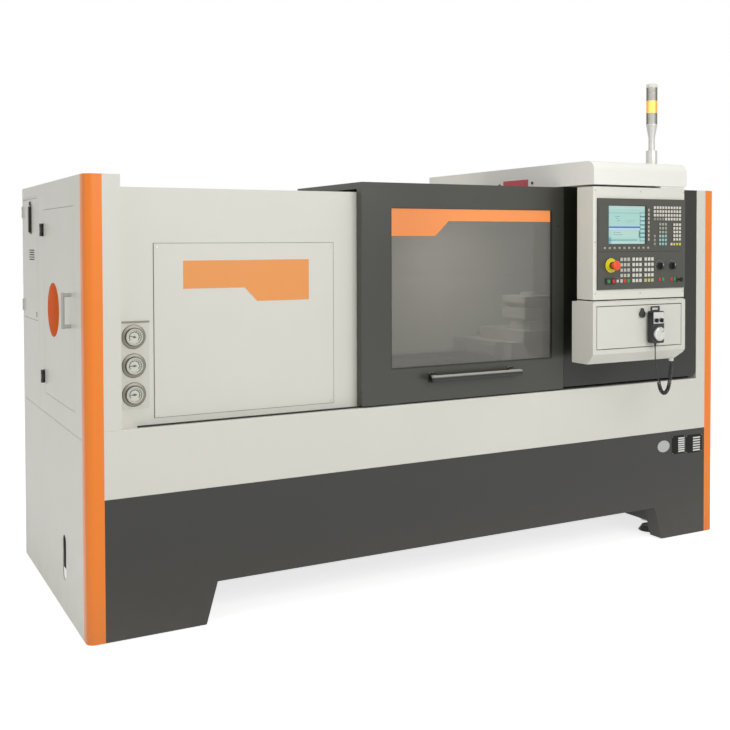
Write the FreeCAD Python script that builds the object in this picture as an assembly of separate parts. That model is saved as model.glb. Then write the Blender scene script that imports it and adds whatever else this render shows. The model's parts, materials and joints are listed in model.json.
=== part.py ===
import FreeCAD, Part
import math
import os
from FreeCAD import Vector

os.makedirs("parts", exist_ok=True)

# A flat-bed turning lathe in a full sheet-metal enclosure.
# x runs along the front from the left end, y runs back from the front plane, z runs up from the floor.
# Millimetres. Every piece is moved at the end so that the origin lies under the middle of the machine.

# ---------------------------------------------------------------- overall
LENGTH = 2900.0
HEIGHT = 1587.0
DEPTH = 1174.0
FLOOR_GAP = 4.0
SHEET = 3.0
SEAM = 1.5
RUN_FIT = 0.05
SLIDE_GAP = 0.3

# ---------------------------------------------------------------- enclosure
STRIP_FRONT = 60.5
STRIP_SIDE = 55.5
STRIP_ROUND = 30.0
APRON_TOP = 489.0
FOOT_CUT_HEIGHT = 151.0
FOOT_LEFT = 417.0
FOOT_RIGHT_MARGIN = 322.0
FOOT_SLANT = 42.0
FOOT_RETURN = 73.0
BAND_TOP = 721.0
RECESS = 47.0
COLUMN_EDGE = 122.0
GUARD_TOP = HEIGHT - 40.0
GUARD_END = 1100.0
SEAM_HEIGHT = 688.0
CABINET_FRONT = DEPTH - 366.0
ROOF_OPENING_REAR = CABINET_FRONT - 266.0
BACK_WALL = CABINET_FRONT - 118.0
CABINET_END = LENGTH - 340.0
RIGHT_COLUMN = 54.5
COVER_LEFT = 249.0
COVER_RIGHT = 942.0
COVER_BOTTOM = BAND_TOP + 25.0
COVER_TOP = GUARD_TOP - 194.0
COVER_LAP = 22.0
COVER_THICK = 2.0

# ---------------------------------------------------------------- sliding door
DOOR_LEFT = 1042.0
DOOR_RIGHT = LENGTH - 890.0
DOOR_BOTTOM = BAND_TOP + 7.0
DOOR_TOP_GAP = 3.0
DOOR_THICK = 42.0
HOOD_DEPTH = ROOF_OPENING_REAR + 50.0
HOOD_THICK = 25.0
WINDOW_LEFT = DOOR_LEFT + 125.0
WINDOW_RIGHT = DOOR_RIGHT - 59.0
WINDOW_BOTTOM = DOOR_BOTTOM + 132.0
WINDOW_TOP = HEIGHT - 99.0
WINDOW_ROUND = 10.0
PANE_THICK = 6.0
PANE_LAP = 14.0
RAIL_MARGIN = 60.0
RAIL_FRONT = RECESS - 27.0
RAIL_WIDTH = 12.0
RAIL_HEIGHT = 5.0
SHOE_LENGTH = 60.0
HANGER_FRONT = HOOD_DEPTH - 34.0
HANGER_WIDTH = 22.0
HANGER_RAIL = 6.0
HANDLE_LEFT = WINDOW_LEFT + 164.0
HANDLE_RIGHT = WINDOW_RIGHT - 196.0
HANDLE_HEIGHT = WINDOW_BOTTOM - 41.0
HANDLE_REACH = 52.0
HANDLE_BAR = 13.0

# ---------------------------------------------------------------- left side
SIDE_DOOR_FRONT = 158.5
SIDE_DOOR_REAR = CABINET_FRONT - 117.0
SIDE_DOOR_BOTTOM = SEAM_HEIGHT + 80.5
SIDE_DOOR_TOP = HEIGHT - 104.0
HINGE_LENGTH = 50.0
HINGE_CLEAR = 0.5
HINGE_SETBACK = 11.0
LEAF_THICK = 3.0
PIN_OFFSET = 6.0
SIDE_HINGE_HEIGHTS = (SIDE_DOOR_BOTTOM + 63.5, SIDE_DOOR_TOP - 77.0)
PIN_RADIUS = 4.0
KNUCKLE_RADIUS = 8.0
PULL_LENGTH = 127.0
PULL_REACH = 34.0
PULL_BAR = 6.0
PULL_BASE = 0.5
SIDE_PULL_Y = SIDE_DOOR_FRONT + 55.5
SIDE_PULL_Z = SIDE_DOOR_BOTTOM + 349.5
CAB_DOOR_FRONT = CABINET_FRONT + 28.0
CAB_DOOR_REAR = DEPTH - 24.0
CAB_DOOR_BOTTOM = SEAM_HEIGHT + 352.0
CAB_DOOR_TOP = HEIGHT - 51.0
CAB_KNUCKLE_RADIUS = 3.2
CAB_PIN_RADIUS = 1.7
CAB_HINGE_HEIGHTS = (CAB_DOOR_BOTTOM + 50.0, CAB_DOOR_TOP - 50.0)
LATCH_Y = CAB_DOOR_FRONT + 134.0
LATCH_TOP = CAB_DOOR_TOP - 24.0
LATCH_WIDTH = 33.0
LATCH_HEIGHT = 120.0
LATCH_THICK = 4.0
LATCH_ROUND = 4.0
LEVER_WIDTH = 20.0
LEVER_TOE = 16.0
LEVER_THICK = 7.0
LEVER_INSET = 6.0
LATCH_SPINDLE = 6.0
ROD_DISC_RADIUS = 16.0
ROD_DISC_THICK = 4.0
BARREL_RADIUS = 8.0
BARREL_RISE = 6.0
LOUVRE_COUNT = 5
LOUVRE_LENGTH = 120.0
LOUVRE_PITCH = 9.5
LOUVRE_SLOT = 4.0
LOUVRE_TOP = CAB_DOOR_TOP - 209.0
LOUVRE_Y = CAB_DOOR_FRONT + 124.0
SLOT_Y = 362.0
SLOT_Z = 206.0
SLOT_LENGTH = 166.0
SLOT_WIDTH = 54.0

# ---------------------------------------------------------------- running gear
AXIS_Y = CABINET_FRONT - 328.0
AXIS_Z = 1075.0
SWING_RADIUS = 230.0
BED_WIDTH = 300.0
BED_LEFT = 575.0
BED_RIGHT = LENGTH - 140.0
BED_HEIGHT = 245.0
WAY_WIDTH = 70.0
VEE_RISE = 14.0
TROUGH_LEFT = 620.0
TROUGH_RIGHT = LENGTH - 110.0
TROUGH_FLOOR = 560.0
HEAD_LEFT = 350.0
HEAD_RIGHT = 1075.0
HEAD_FRONT = AXIS_Y - 180.0
HEAD_REAR = AXIS_Y + 210.0
HEAD_TOP = AXIS_Z + 215.0
SPINDLE_RADIUS = 60.0
SPINDLE_BORE = 26.0
NOSE_RADIUS = 82.0
NOSE_LENGTH = 30.0
PULLEY_RADIUS = 115.0
MOTOR_PULLEY_RADIUS = 75.0
PULLEY_LEFT = 235.0
PULLEY_WIDTH = 80.0
MOTOR_AXIS_Z = AXIS_Z - 385.0
MOTOR_RADIUS = 105.0
MOTOR_LENGTH = 210.0
MOTOR_FOOT_RIGHT = 440.0
BELT_THICK = 6.0
BELT_WIDTH = 64.0
CHUCK_RADIUS = 125.0
CHUCK_LENGTH = 110.0
CHUCK_BORE = 32.0
JAW_WIDTH = 36.0
JAW_STROKE = 4.5
SADDLE_LENGTH = 380.0
SADDLE_THICK = 60.0
TAIL_LEFT = LENGTH - 400.0
TAIL_LENGTH = 240.0
SADDLE_LEFT = TAIL_LEFT - 620.0
CROSS_LEFT = SADDLE_LEFT + 80.0
CROSS_LENGTH = 220.0
CROSS_THICK = 52.0
CROSS_FRONT = AXIS_Y - 265.0
CROSS_DEPTH = 340.0
TURRET_SIDE = 176.0
TURRET_HEIGHT = 100.0
TURRET_BASE = 52.0
TOOL_SLOT = 26.0
TOOL_SLOT_DEPTH = 24.0
TOOL_SHANK = 20.0
QUILL_RADIUS = 37.5
SCREW_RADIUS = 16.0
SCREW_Y = AXIS_Y - 188.0
SCREW_Z = 762.0
FOOT_PAD_RADIUS = 55.0
FOOT_PAD_HEIGHT = 22.0
FOOT_STUD_RADIUS = 12.0

# ---------------------------------------------------------------- cast base
PEDESTAL_FRONT = 78.0
PEDESTAL_REAR = CABINET_FRONT - 28.0
PEDESTAL_FLOOR = 60.0
LEFT_PEDESTAL = (70.0, 405.0)
RIGHT_PEDESTAL = (LENGTH - 310.0, LENGTH - 80.0)
BEAM_BOTTOM = 380.0
CAST_WALL = 22.0
TROUGH_WALL = 6.0
SHELF_THICK = 8.0
GUSSET_COUNT = 7
GUSSET_INSET = 20.0
GUSSET_THICK = 12.0

# ---------------------------------------------------------------- tank and drive rack
TANK_LEFT = 560.0
TANK_LENGTH = 940.0
TANK_FRONT = AXIS_Y + 140.0
TANK_REAR = DEPTH - 54.0
TANK_BOTTOM = 12.0
TANK_TOP = 300.0
TANK_WALL = 4.0
TANK_ROUND = 20.0
TANK_MOUTH_LENGTH = 500.0
TANK_MOUTH_WIDTH = 250.0
RUNNER_WIDTH = 40.0
PUMP_RADIUS = 62.0
PUMP_HEIGHT = 150.0
PUMP_FLANGE = 84.0
PUMP_EDGE = 115.0
SPOUT_RADIUS = 18.0
RACK_LEFT = 40.0
RACK_LENGTH = 860.0
RACK_BOTTOM = SEAM_HEIGHT + 52.0
RACK_TOP = HEIGHT - 47.0
RACK_STANDOFF = 12.0
DRIVE_COUNT = 3
DRIVE_WIDTH = 108.0
DRIVE_PITCH = 128.0
DRIVE_DEPTH = 150.0
DRIVE_HEIGHT = 280.0
FIN_COUNT = 7
FIN_PITCH = 14.0
FIN_THICK = 6.0
FIN_REACH = 8.0
RELAY_COUNT = 9
RELAY_PITCH = 40.0
RELAY_WIDTH = 36.0
RELAY_HEIGHT = 90.0
RELAY_DEPTH = 70.0
DUCT_DEPTH = 60.0
DUCT_HEIGHT = 36.0
TRANSFORMER_LENGTH = 240.0
TRANSFORMER_HEIGHT = 160.0
TRANSFORMER_DEPTH = 110.0

# ---------------------------------------------------------------- pressure gauges
GAUGE_X = 175.5
GAUGE_HEIGHTS = (1032.0, 932.4, 832.6)
GAUGE_FLANGE = 42.0
GAUGE_DIAL = 24.0
GAUGE_DEEP = 9.0
GAUGE_PLATE_WIDTH = 96.0
GAUGE_PLATE_LEFT = GAUGE_X - 41.5
GAUGE_PLATE_BOTTOM = GAUGE_HEIGHTS[-1] - 50.6
GAUGE_PLATE_TOP = GAUGE_HEIGHTS[0] + 52.0
GAUGE_PLATE_ROUND = 6.0
NEEDLE_LENGTH = 19.0
NEEDLE_TAIL = 7.0
NEEDLE_PIN = 1.2
NEEDLE_RESTS = (80.0, 90.0, 90.0)

# ---------------------------------------------------------------- arm, tower and control unit
ARM_RIGHT = LENGTH - 389.0
ARM_LEFT = ARM_RIGHT - 512.0
ARM_FRONT = -205.0
ARM_REAR = DEPTH - 111.0
ARM_HEIGHT = 97.0
ARM_ROUND = 38.0
PIVOT_X = ARM_RIGHT - 74.0
PIVOT_Y = ARM_FRONT + 55.0
PIVOT_RADIUS = 28.0
BOX_LEFT = ARM_LEFT + 5.0
BOX_RIGHT = ARM_RIGHT - 3.0
BOX_FRONT = ARM_FRONT + 7.0
BOX_REAR = BOX_FRONT + 102.0
BOX_TOP = HEIGHT - 8.0
BOX_BOTTOM = BOX_TOP - 472.0
UNIT_LEFT = BOX_LEFT + 16.0
UNIT_WIDTH = 482.5
UNIT_BOTTOM = BOX_BOTTOM + 49.5
PANEL_HEIGHT = 155.0
DISPLAY_HEIGHT = 219.0
UNIT_THICK = 8.0
UNIT_LAP = 14.0
SCREEN_LEFT = UNIT_LEFT + 56.0
SCREEN_WIDTH = 208.0
SCREEN_BOTTOM = UNIT_BOTTOM + 186.5
SCREEN_HEIGHT = 160.0
SCREEN_SINK = 3.0
KEY_RISE = 1.6
TOWER_X = ARM_LEFT + 378.0
TOWER_Y = ARM_FRONT + 70.0
TOWER_FOOT_RADIUS = 23.6
TOWER_FOOT_HEIGHT = 59.0
TOWER_POLE_RADIUS = 13.5
TOWER_POLE_TOP = 112.0
TOWER_COLLAR = 5.0
LENS_RADIUS = 24.0
LENS_BOTTOM = 171.0
LENS_PITCH = 51.7
LENS_COUNT = 3
LENS_RIM = 4.0
LENS_CAP = 19.0
STORE_LEFT = BOX_LEFT - 25.0
STORE_RIGHT = BOX_RIGHT - 21.5
STORE_FRONT = BOX_FRONT - 26.0
STORE_REAR = BOX_REAR + 2.0
STORE_BOTTOM = BOX_BOTTOM - 254.0
STORE_CHAMFER_Z = 41.0
STORE_CHAMFER_Y = 34.0
STORE_CORNER = 28.0
STORE_WALL = 2.5
FLAP_LEFT = STORE_LEFT + 22.0
FLAP_RIGHT = STORE_RIGHT - 24.5
FLAP_BOTTOM = STORE_BOTTOM + 63.0
FLAP_TOP = BOX_BOTTOM - 19.0
FLAP_GAP = 3.2
LOCK_X = FLAP_LEFT + 237.0
LOCK_Z = FLAP_TOP - 36.0
LOCK_RADIUS = 9.0
WING_RADIUS = 15.0
WING_TIP = 5.5
WING_RISE = 20.0
WING_THICK = 6.0
CAM_LENGTH = 44.0
CAM_WIDTH = 16.0

# ---------------------------------------------------------------- buttons, knobs and keys
ESTOP_X = UNIT_LEFT + 67.0
ESTOP_Z = UNIT_BOTTOM + 99.5
ESTOP_DISC = 30.0
ESTOP_COLLAR = 14.5
ESTOP_STEM = 11.0
KNOB_XS = (UNIT_LEFT + 337.0, UNIT_LEFT + 405.5)
KNOB_Z = UNIT_BOTTOM + 93.5
KNOB_PLATE = 17.0
KNOB_STEM = 3.0
ROUND_BUTTONS = (UNIT_LEFT + 51.0, UNIT_LEFT + 77.0)
BUTTON_RADIUS = 8.0
BUTTON_COLLAR = 11.5
ROW_Z = UNIT_BOTTOM + 34.5
KEY_SWITCH_X = UNIT_LEFT + 441.0
KEY_SWITCH_RADIUS = 6.0
KEY_SWITCH_COLLAR = 10.0
WORKING_DEPTH = 34.0

# Key grids: left and low edge from the unit's lower left corner, columns, rows,
# pitch across, pitch up, width and height.
DISPLAY_KEYS = [(268.5, 199.9, 1, 8, 14.0, 17.5, 9.0, 12.5),
                (28.0, 166.5, 10, 1, 26.2, 14.0, 13.0, 9.0),
                (300.5, 285.5, 10, 4, 16.0, 16.1, 12.5, 12.0),
                (300.5, 180.7, 1, 3, 16.0, 16.6, 12.5, 12.0),
                (331.5, 180.7, 3, 6, 16.0, 16.6, 12.5, 12.0),
                (396.5, 179.4, 1, 1, 16.0, 16.2, 12.5, 12.0),
                (412.5, 179.4, 3, 1, 16.0, 16.2, 12.5, 12.0),
                (412.5, 199.7, 3, 5, 16.0, 15.7, 12.5, 12.0)]
PANEL_KEYS = [(117.5, 27.2, 3, 5, 18.8, 22.2, 15.0, 15.0),
              (183.0, 27.2, 3, 5, 18.8, 22.2, 15.0, 15.0),
              (249.5, 27.2, 3, 5, 18.8, 22.2, 15.0, 15.0),
              (97.9, 28.5, 1, 1, 14.0, 14.0, 12.0, 12.0),
              (329.5, 30.0, 2, 1, 18.5, 17.0, 13.5, 15.0),
              (397.0, 30.0, 2, 1, 18.5, 17.0, 13.5, 15.0)]

# ---------------------------------------------------------------- pendant and its cord
PENDANT_X = STORE_LEFT + 318.0
PENDANT_WIDTH = 64.0
PENDANT_BOTTOM = FLAP_BOTTOM + 15.0
PENDANT_HEIGHT = 133.0
PENDANT_REAR = STORE_FRONT - 8.0
PENDANT_DEPTH = 30.0
PENDANT_LABEL_HEIGHT = 49.0
WHEEL_Z = PENDANT_BOTTOM + 39.0
WHEEL_RADIUS = 29.0
WHEEL_PROUD = 25.0
WHEEL_STEM = 5.0
PENDANT_KNOBS = (PENDANT_X - 14.0, PENDANT_X + 14.0)
PENDANT_KNOB_Z = PENDANT_BOTTOM + 95.0
PENDANT_KNOB_STEM = 3.0
CORD_WIRE = 4.6
CURL_OUTER = 15.0
CURL_COUNT = 30
CURL_SIDES = 10
CURL_EASE = 1.5
GLAND_LENGTH = 12.0
GLAND_RADIUS = 10.0

# Route points from the storage box's lower left front corner.
LEAD_ROUTE = [(315.0, -23.0, 63.0), (315.0, -23.0, 23.0), (319.5, -22.0, -17.0), (328.0, -19.5, -49.0)]
CURL_ROUTE = [(339.0, -16.0, -75.0), (347.0, -13.5, -101.0), (361.0, -10.0, -128.0), (384.0, -5.5, -143.0),
              (411.0, 2.0, -131.0), (431.0, 12.0, -105.0), (445.0, 22.0, -76.0), (459.0, 32.0, -47.0),
              (465.0, 37.0, -17.0)]

# ---------------------------------------------------------------- worked-out sizes
BED_TOP = AXIS_Z - SWING_RADIUS
BED_BOTTOM = BED_TOP - BED_HEIGHT
BED_FRONT = AXIS_Y - BED_WIDTH / 2
BED_REAR = AXIS_Y + BED_WIDTH / 2
RIGHT_COLUMN_LEFT = LENGTH - STRIP_FRONT - RIGHT_COLUMN
DOOR_TOP = HEIGHT - DOOR_TOP_GAP
NOSE_FACE = HEAD_RIGHT + NOSE_LENGTH
CHUCK_FACE = NOSE_FACE + CHUCK_LENGTH
CABINET_BOTTOM = SEAM_HEIGHT
REAR_Y = DEPTH - SHEET
ROOF_REAR = CABINET_FRONT - SEAM
PANEL_PLANE = BOX_FRONT - UNIT_THICK
DISPLAY_BOTTOM = UNIT_BOTTOM + PANEL_HEIGHT + 1.0
LEFTMOST = PULL_BASE - PULL_REACH
LEVER_HIGH = LATCH_TOP - LEVER_INSET - LEVER_WIDTH / 2
FRONTMOST = PENDANT_REAR - PENDANT_DEPTH - WHEEL_PROUD
ORIGIN_SHIFT = Vector(-(LENGTH + LEFTMOST) / 2, -(DEPTH + FRONTMOST) / 2, 0)


# ---------------------------------------------------------------- small tools
def box(x0, x1, y0, y1, z0, z1):
    """A block between two corners."""
    return Part.makeBox(x1 - x0, y1 - y0, z1 - z0, Vector(x0, y0, z0))


def rod(x, y, z, radius, length, axis):
    """A cylinder that starts at a point and runs along axis."""
    return Part.makeCylinder(radius, length, Vector(x, y, z), Vector(*axis))


def fused(shapes):
    """One solid from pieces that touch."""
    joined = shapes[0].fuse(shapes[1:])
    return joined.removeSplitter()


def prism_x(points, x0, x1):
    """A profile of (y, z) points pushed along x."""
    wire = Part.makePolygon([Vector(x0, y, z) for y, z in points + points[:1]])
    return Part.Face(wire).extrude(Vector(x1 - x0, 0, 0))


def prism_y(points, y0, y1):
    """A profile of (x, z) points pushed along y."""
    wire = Part.makePolygon([Vector(x, y0, z) for x, z in points + points[:1]])
    return Part.Face(wire).extrude(Vector(0, y1 - y0, 0))


def prism_z(points, z0, z1):
    """A profile of (x, y) points pushed along z."""
    wire = Part.makePolygon([Vector(x, y, z0) for x, y in points + points[:1]])
    return Part.Face(wire).extrude(Vector(0, 0, z1 - z0))


def edges_along(shape, axis, test):
    """Straight edges along one axis whose middle passes a test."""
    found = []
    for edge in shape.Edges:
        if len(edge.Vertexes) != 2:
            continue
        step = edge.Vertexes[1].Point - edge.Vertexes[0].Point
        if step.Length < 1e-6 or abs(abs(step.dot(Vector(*axis))) - step.Length) > 1e-6:
            continue
        if test(edge.CenterOfMass):
            found.append(edge)
    return found


def rounded(shape, radius, axis, test=lambda middle: True):
    """The same solid with some straight edges rounded."""
    return shape.makeFillet(radius, edges_along(shape, axis, test))


def slot_cut(x0, x1, y_middle, z_middle, length, width):
    """An oblong cutter that stands along z and passes through in x."""
    straight = length - width
    block = box(x0, x1, y_middle - width / 2, y_middle + width / 2, z_middle - straight / 2,
                z_middle + straight / 2)
    low = rod(x0, y_middle, z_middle - straight / 2, width / 2, x1 - x0, (1, 0, 0))
    high = rod(x0, y_middle, z_middle + straight / 2, width / 2, x1 - x0, (1, 0, 0))
    return fused([block, low, high])


def pull_handle(y, z, x_face):
    """A D-shaped pull that stands along z on a face that looks to the left."""
    x_bar = x_face - PULL_REACH + PULL_BAR
    bar = rod(x_bar, y, z - PULL_LENGTH / 2, PULL_BAR, PULL_LENGTH, (0, 0, 1))
    feet = []
    for end in (-1, 1):
        foot_z = z + end * (PULL_LENGTH / 2 - PULL_BAR * 1.4)
        feet.append(rod(x_bar, y, foot_z, PULL_BAR * 1.2, x_face - x_bar, (1, 0, 0)))
    return [bar] + feet


def save(name, shape):
    """Move a piece to the machine's own frame and write it."""
    placed = shape.copy()
    placed.translate(ORIGIN_SHIFT)
    solids = placed.Solids
    if not placed.isValid():
        print("NOT VALID", name)
    if len(solids) == 1:
        placed = solids[0]
    placed.exportStep("parts/" + name + ".step")
    bounds = placed.BoundBox
    print(f"{name:22s} solids {len(solids)} volume {placed.Volume / 1e3:9.1f} cm3 "
          f"x {bounds.XMin:8.1f} {bounds.XMax:8.1f} y {bounds.YMin:7.1f} {bounds.YMax:7.1f} "
          f"z {bounds.ZMin:7.1f} {bounds.ZMax:7.1f}")


# ---------------------------------------------------------------- castings and running gear


def machine_base():
    pieces = []
    for left, right in (LEFT_PEDESTAL, RIGHT_PEDESTAL):
        block = box(left, right, PEDESTAL_FRONT, PEDESTAL_REAR, PEDESTAL_FLOOR, TROUGH_FLOOR)
        hollow = box(left + CAST_WALL, right - CAST_WALL, PEDESTAL_FRONT + CAST_WALL,
                     PEDESTAL_REAR - CAST_WALL,
                     PEDESTAL_FLOOR - 1, TROUGH_FLOOR - CAST_WALL)
        pieces.append(block.cut(hollow))
    beam = box(LEFT_PEDESTAL[1] - 1, RIGHT_PEDESTAL[0] + 1, BED_FRONT - 40, BED_REAR + 40, BEAM_BOTTOM,
               TROUGH_FLOOR)
    inside = box(LEFT_PEDESTAL[1] - 2, RIGHT_PEDESTAL[0] + 2, BED_FRONT - 40 + CAST_WALL,
                 BED_REAR + 40 - CAST_WALL,
                 BEAM_BOTTOM - 1, TROUGH_FLOOR - CAST_WALL)
    pieces.append(beam.cut(inside))
    pan = box(TROUGH_LEFT, TROUGH_RIGHT, SHEET + 3, PEDESTAL_REAR, TROUGH_FLOOR - TROUGH_WALL, BAND_TOP - 14)
    well = box(TROUGH_LEFT + TROUGH_WALL, TROUGH_RIGHT - TROUGH_WALL, SHEET + 3 + TROUGH_WALL,
               PEDESTAL_REAR - TROUGH_WALL, TROUGH_FLOOR, BAND_TOP)
    notch = box(TROUGH_LEFT - 1, TROUGH_LEFT + TROUGH_WALL + 1, BED_FRONT - 1, BED_REAR + 1, BED_BOTTOM,
                BAND_TOP)
    pieces.append(pan.cut([well, notch]))
    pieces.append(box(BED_LEFT, BED_RIGHT, BED_FRONT - 10, BED_REAR + 10, TROUGH_FLOOR - 1, BED_BOTTOM))
    motor_foot = box(HEAD_LEFT + 10, MOTOR_FOOT_RIGHT + 1, AXIS_Y - 110, AXIS_Y + 110,
                     TROUGH_FLOOR - CAST_WALL,
                     MOTOR_AXIS_Z - MOTOR_RADIUS - 8)
    pieces.append(motor_foot)
    shelf = box(LEFT_PEDESTAL[0], RIGHT_PEDESTAL[1], PEDESTAL_REAR - 20, REAR_Y, SEAM_HEIGHT - SHELF_THICK,
                SEAM_HEIGHT)
    pieces.append(shelf)
    pieces.append(box(LEFT_PEDESTAL[0], RIGHT_PEDESTAL[1], PEDESTAL_REAR - 20, PEDESTAL_REAR - 12,
                      TROUGH_FLOOR - CAST_WALL, SEAM_HEIGHT))
    spread = RIGHT_PEDESTAL[1] - LEFT_PEDESTAL[0] - 2 * GUSSET_INSET - GUSSET_THICK
    for k in range(GUSSET_COUNT):
        x = LEFT_PEDESTAL[0] + GUSSET_INSET + k * spread / (GUSSET_COUNT - 1)
        gusset = prism_x([(PEDESTAL_REAR - 20, TROUGH_FLOOR - CAST_WALL), (REAR_Y - 60,
                                                                           SEAM_HEIGHT - SHELF_THICK),
                          (PEDESTAL_REAR - 20, SEAM_HEIGHT - SHELF_THICK)], x, x + GUSSET_THICK)
        pieces.append(gusset)
    return fused(pieces)


def foot_places():
    places = []
    for left, right in (LEFT_PEDESTAL, RIGHT_PEDESTAL):
        for x in (left + 60, right - 60):
            for y in (PEDESTAL_FRONT + 70, PEDESTAL_REAR - 70):
                places.append((x, y))
    return places


def levelling_feet():
    feet = []
    for x, y in foot_places():
        pad = Part.makeCone(FOOT_PAD_RADIUS, FOOT_PAD_RADIUS * 0.7, FOOT_PAD_HEIGHT, Vector(x, y, 0),
                            Vector(0, 0, 1))
        stud = rod(x, y, FOOT_PAD_HEIGHT - 1, FOOT_STUD_RADIUS, PEDESTAL_FLOOR - 12 - FOOT_PAD_HEIGHT + 1,
                   (0, 0, 1))
        plate = rod(x, y, PEDESTAL_FLOOR - 12, FOOT_PAD_RADIUS * 0.8, 12, (0, 0, 1))
        feet.append(fused([pad, stud, plate]))
    return Part.makeCompound(feet)


def foot_lugs():
    """Cast corner pads inside each pedestal, which stand on the feet."""
    lugs = []
    for x, y in foot_places():
        lugs.append(box(x - 60, x + 60, y - 70, y + 60, PEDESTAL_FLOOR, PEDESTAL_FLOOR + CAST_WALL))
    return lugs


def way_groove(gap, x0, x1):
    """The cutter for what rides or seats on the raised way of the bed."""
    half = WAY_WIDTH * 0.25
    slope = VEE_RISE / half
    top = VEE_RISE + gap * math.hypot(1, slope)
    middle = BED_FRONT + WAY_WIDTH * 0.5
    reach = (top + 1) / slope
    return prism_x([(middle - reach, BED_TOP - 1), (middle, BED_TOP + top), (middle + reach, BED_TOP - 1)],
                   x0, x1)


def bed():
    profile = [(BED_FRONT, BED_BOTTOM), (BED_FRONT, BED_BOTTOM + 24), (BED_FRONT + 18, BED_BOTTOM + 34),
               (BED_FRONT + 18, BED_TOP - 60), (BED_FRONT, BED_TOP - 44), (BED_FRONT, BED_TOP),
               (BED_FRONT + WAY_WIDTH * 0.25, BED_TOP), (BED_FRONT + WAY_WIDTH * 0.5, BED_TOP + VEE_RISE),
               (BED_FRONT + WAY_WIDTH * 0.75, BED_TOP), (BED_FRONT + WAY_WIDTH, BED_TOP),
               (BED_FRONT + WAY_WIDTH, BED_TOP - 44), (BED_FRONT + 44, BED_TOP - 60), (BED_FRONT + 44,
                                                                                       BED_BOTTOM)]
    front = prism_x(profile, BED_LEFT, BED_RIGHT)
    flat = [(2 * AXIS_Y - y, min(z, BED_TOP)) for y, z in profile if z <= BED_TOP]
    rear = prism_x(flat, BED_LEFT, BED_RIGHT)
    pieces = [front, rear]
    rib_count = 9
    pitch = (BED_RIGHT - BED_LEFT - 30) / (rib_count - 1)
    for index in range(rib_count):
        x = BED_LEFT + index * pitch
        rib = box(x, x + 30, BED_FRONT + 30, BED_REAR - 30, BED_BOTTOM, BED_TOP - 50)
        arch = rod(x - 1, AXIS_Y, BED_BOTTOM + 70, 60, 32, (1, 0, 0))
        pieces.append(rib.cut(arch))
    for x in (BED_LEFT + 420, BED_RIGHT - 160):
        block = box(x, x + 40, SCREW_Y - 30, BED_FRONT + 30, SCREW_Z - 32, SCREW_Z + 32)
        pieces.append(block.cut(rod(x - 1, SCREW_Y, SCREW_Z, SCREW_RADIUS + RUN_FIT, 42, (1, 0, 0))))
    return fused(pieces)


def headstock():
    side = [(HEAD_FRONT, BED_TOP), (HEAD_FRONT, AXIS_Z + 90), (HEAD_FRONT + 60, HEAD_TOP), (HEAD_REAR - 60,
                                                                                            HEAD_TOP),
            (HEAD_REAR, AXIS_Z + 90), (HEAD_REAR, BED_TOP)]
    body = prism_x(side, HEAD_LEFT, HEAD_RIGHT - 20)
    vee = way_groove(SLIDE_GAP, BED_LEFT - 1, HEAD_RIGHT)
    front_ring = rod(HEAD_RIGHT - 21, AXIS_Y, AXIS_Z, 150, 21, (1, 0, 0))
    rear_ring = rod(HEAD_LEFT - 14, AXIS_Y, AXIS_Z, 105, 15, (1, 0, 0))
    lid = box(HEAD_LEFT + 30, HEAD_RIGHT - 60, HEAD_FRONT + 75, HEAD_REAR - 75, HEAD_TOP - 1, HEAD_TOP + 14)
    bore = rod(HEAD_LEFT - 20, AXIS_Y, AXIS_Z, SPINDLE_RADIUS + RUN_FIT, HEAD_RIGHT - HEAD_LEFT + 40,
               (1, 0, 0))
    gallery = rod(HEAD_LEFT + 110, AXIS_Y, AXIS_Z, SPINDLE_RADIUS + 45, HEAD_RIGHT - HEAD_LEFT - 240,
                  (1, 0, 0))
    return fused([body, front_ring, rear_ring, lid]).cut([bore, gallery, vee])


def spindle():
    shaft = rod(PULLEY_LEFT - 30, AXIS_Y, AXIS_Z, SPINDLE_RADIUS, HEAD_RIGHT + SLIDE_GAP - PULLEY_LEFT + 30,
                (1, 0, 0))
    nose = rod(HEAD_RIGHT + SLIDE_GAP, AXIS_Y, AXIS_Z, NOSE_RADIUS, NOSE_LENGTH - SLIDE_GAP, (1, 0, 0))
    pulley = grooved_pulley(PULLEY_RADIUS, AXIS_Z, SPINDLE_RADIUS - 5)
    bore = rod(PULLEY_LEFT - 31, AXIS_Y, AXIS_Z, SPINDLE_BORE, NOSE_FACE - PULLEY_LEFT + 40, (1, 0, 0))
    return fused([shaft, nose, pulley]).cut(bore)


def grooved_pulley(radius, z, hub):
    """A ribbed-belt pulley: rims at both ends and a lower drum between them."""
    rim = (PULLEY_WIDTH - BELT_WIDTH) / 2 - 1
    half = [(PULLEY_LEFT, hub), (PULLEY_LEFT, radius + 5), (PULLEY_LEFT + rim, radius + 5),
            (PULLEY_LEFT + rim, radius),
            (PULLEY_LEFT + PULLEY_WIDTH - rim, radius), (PULLEY_LEFT + PULLEY_WIDTH - rim, radius + 5),
            (PULLEY_LEFT + PULLEY_WIDTH, radius + 5), (PULLEY_LEFT + PULLEY_WIDTH, radius - 18),
            (PULLEY_LEFT + PULLEY_WIDTH - 30, radius - 22), (PULLEY_LEFT + PULLEY_WIDTH - 30, hub)]
    wire = Part.makePolygon([Vector(x, AXIS_Y, z + r) for x, r in half + half[:1]])
    return Part.Face(wire).revolve(Vector(0, AXIS_Y, z), Vector(1, 0, 0), 360)


def motor_pulley():
    wheel = grooved_pulley(MOTOR_PULLEY_RADIUS, MOTOR_AXIS_Z, 20)
    shaft = rod(PULLEY_LEFT, AXIS_Y, MOTOR_AXIS_Z, 24, HEAD_LEFT + 10 + 70 - PULLEY_LEFT, (1, 0, 0))
    return fused([wheel, shaft])


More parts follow.
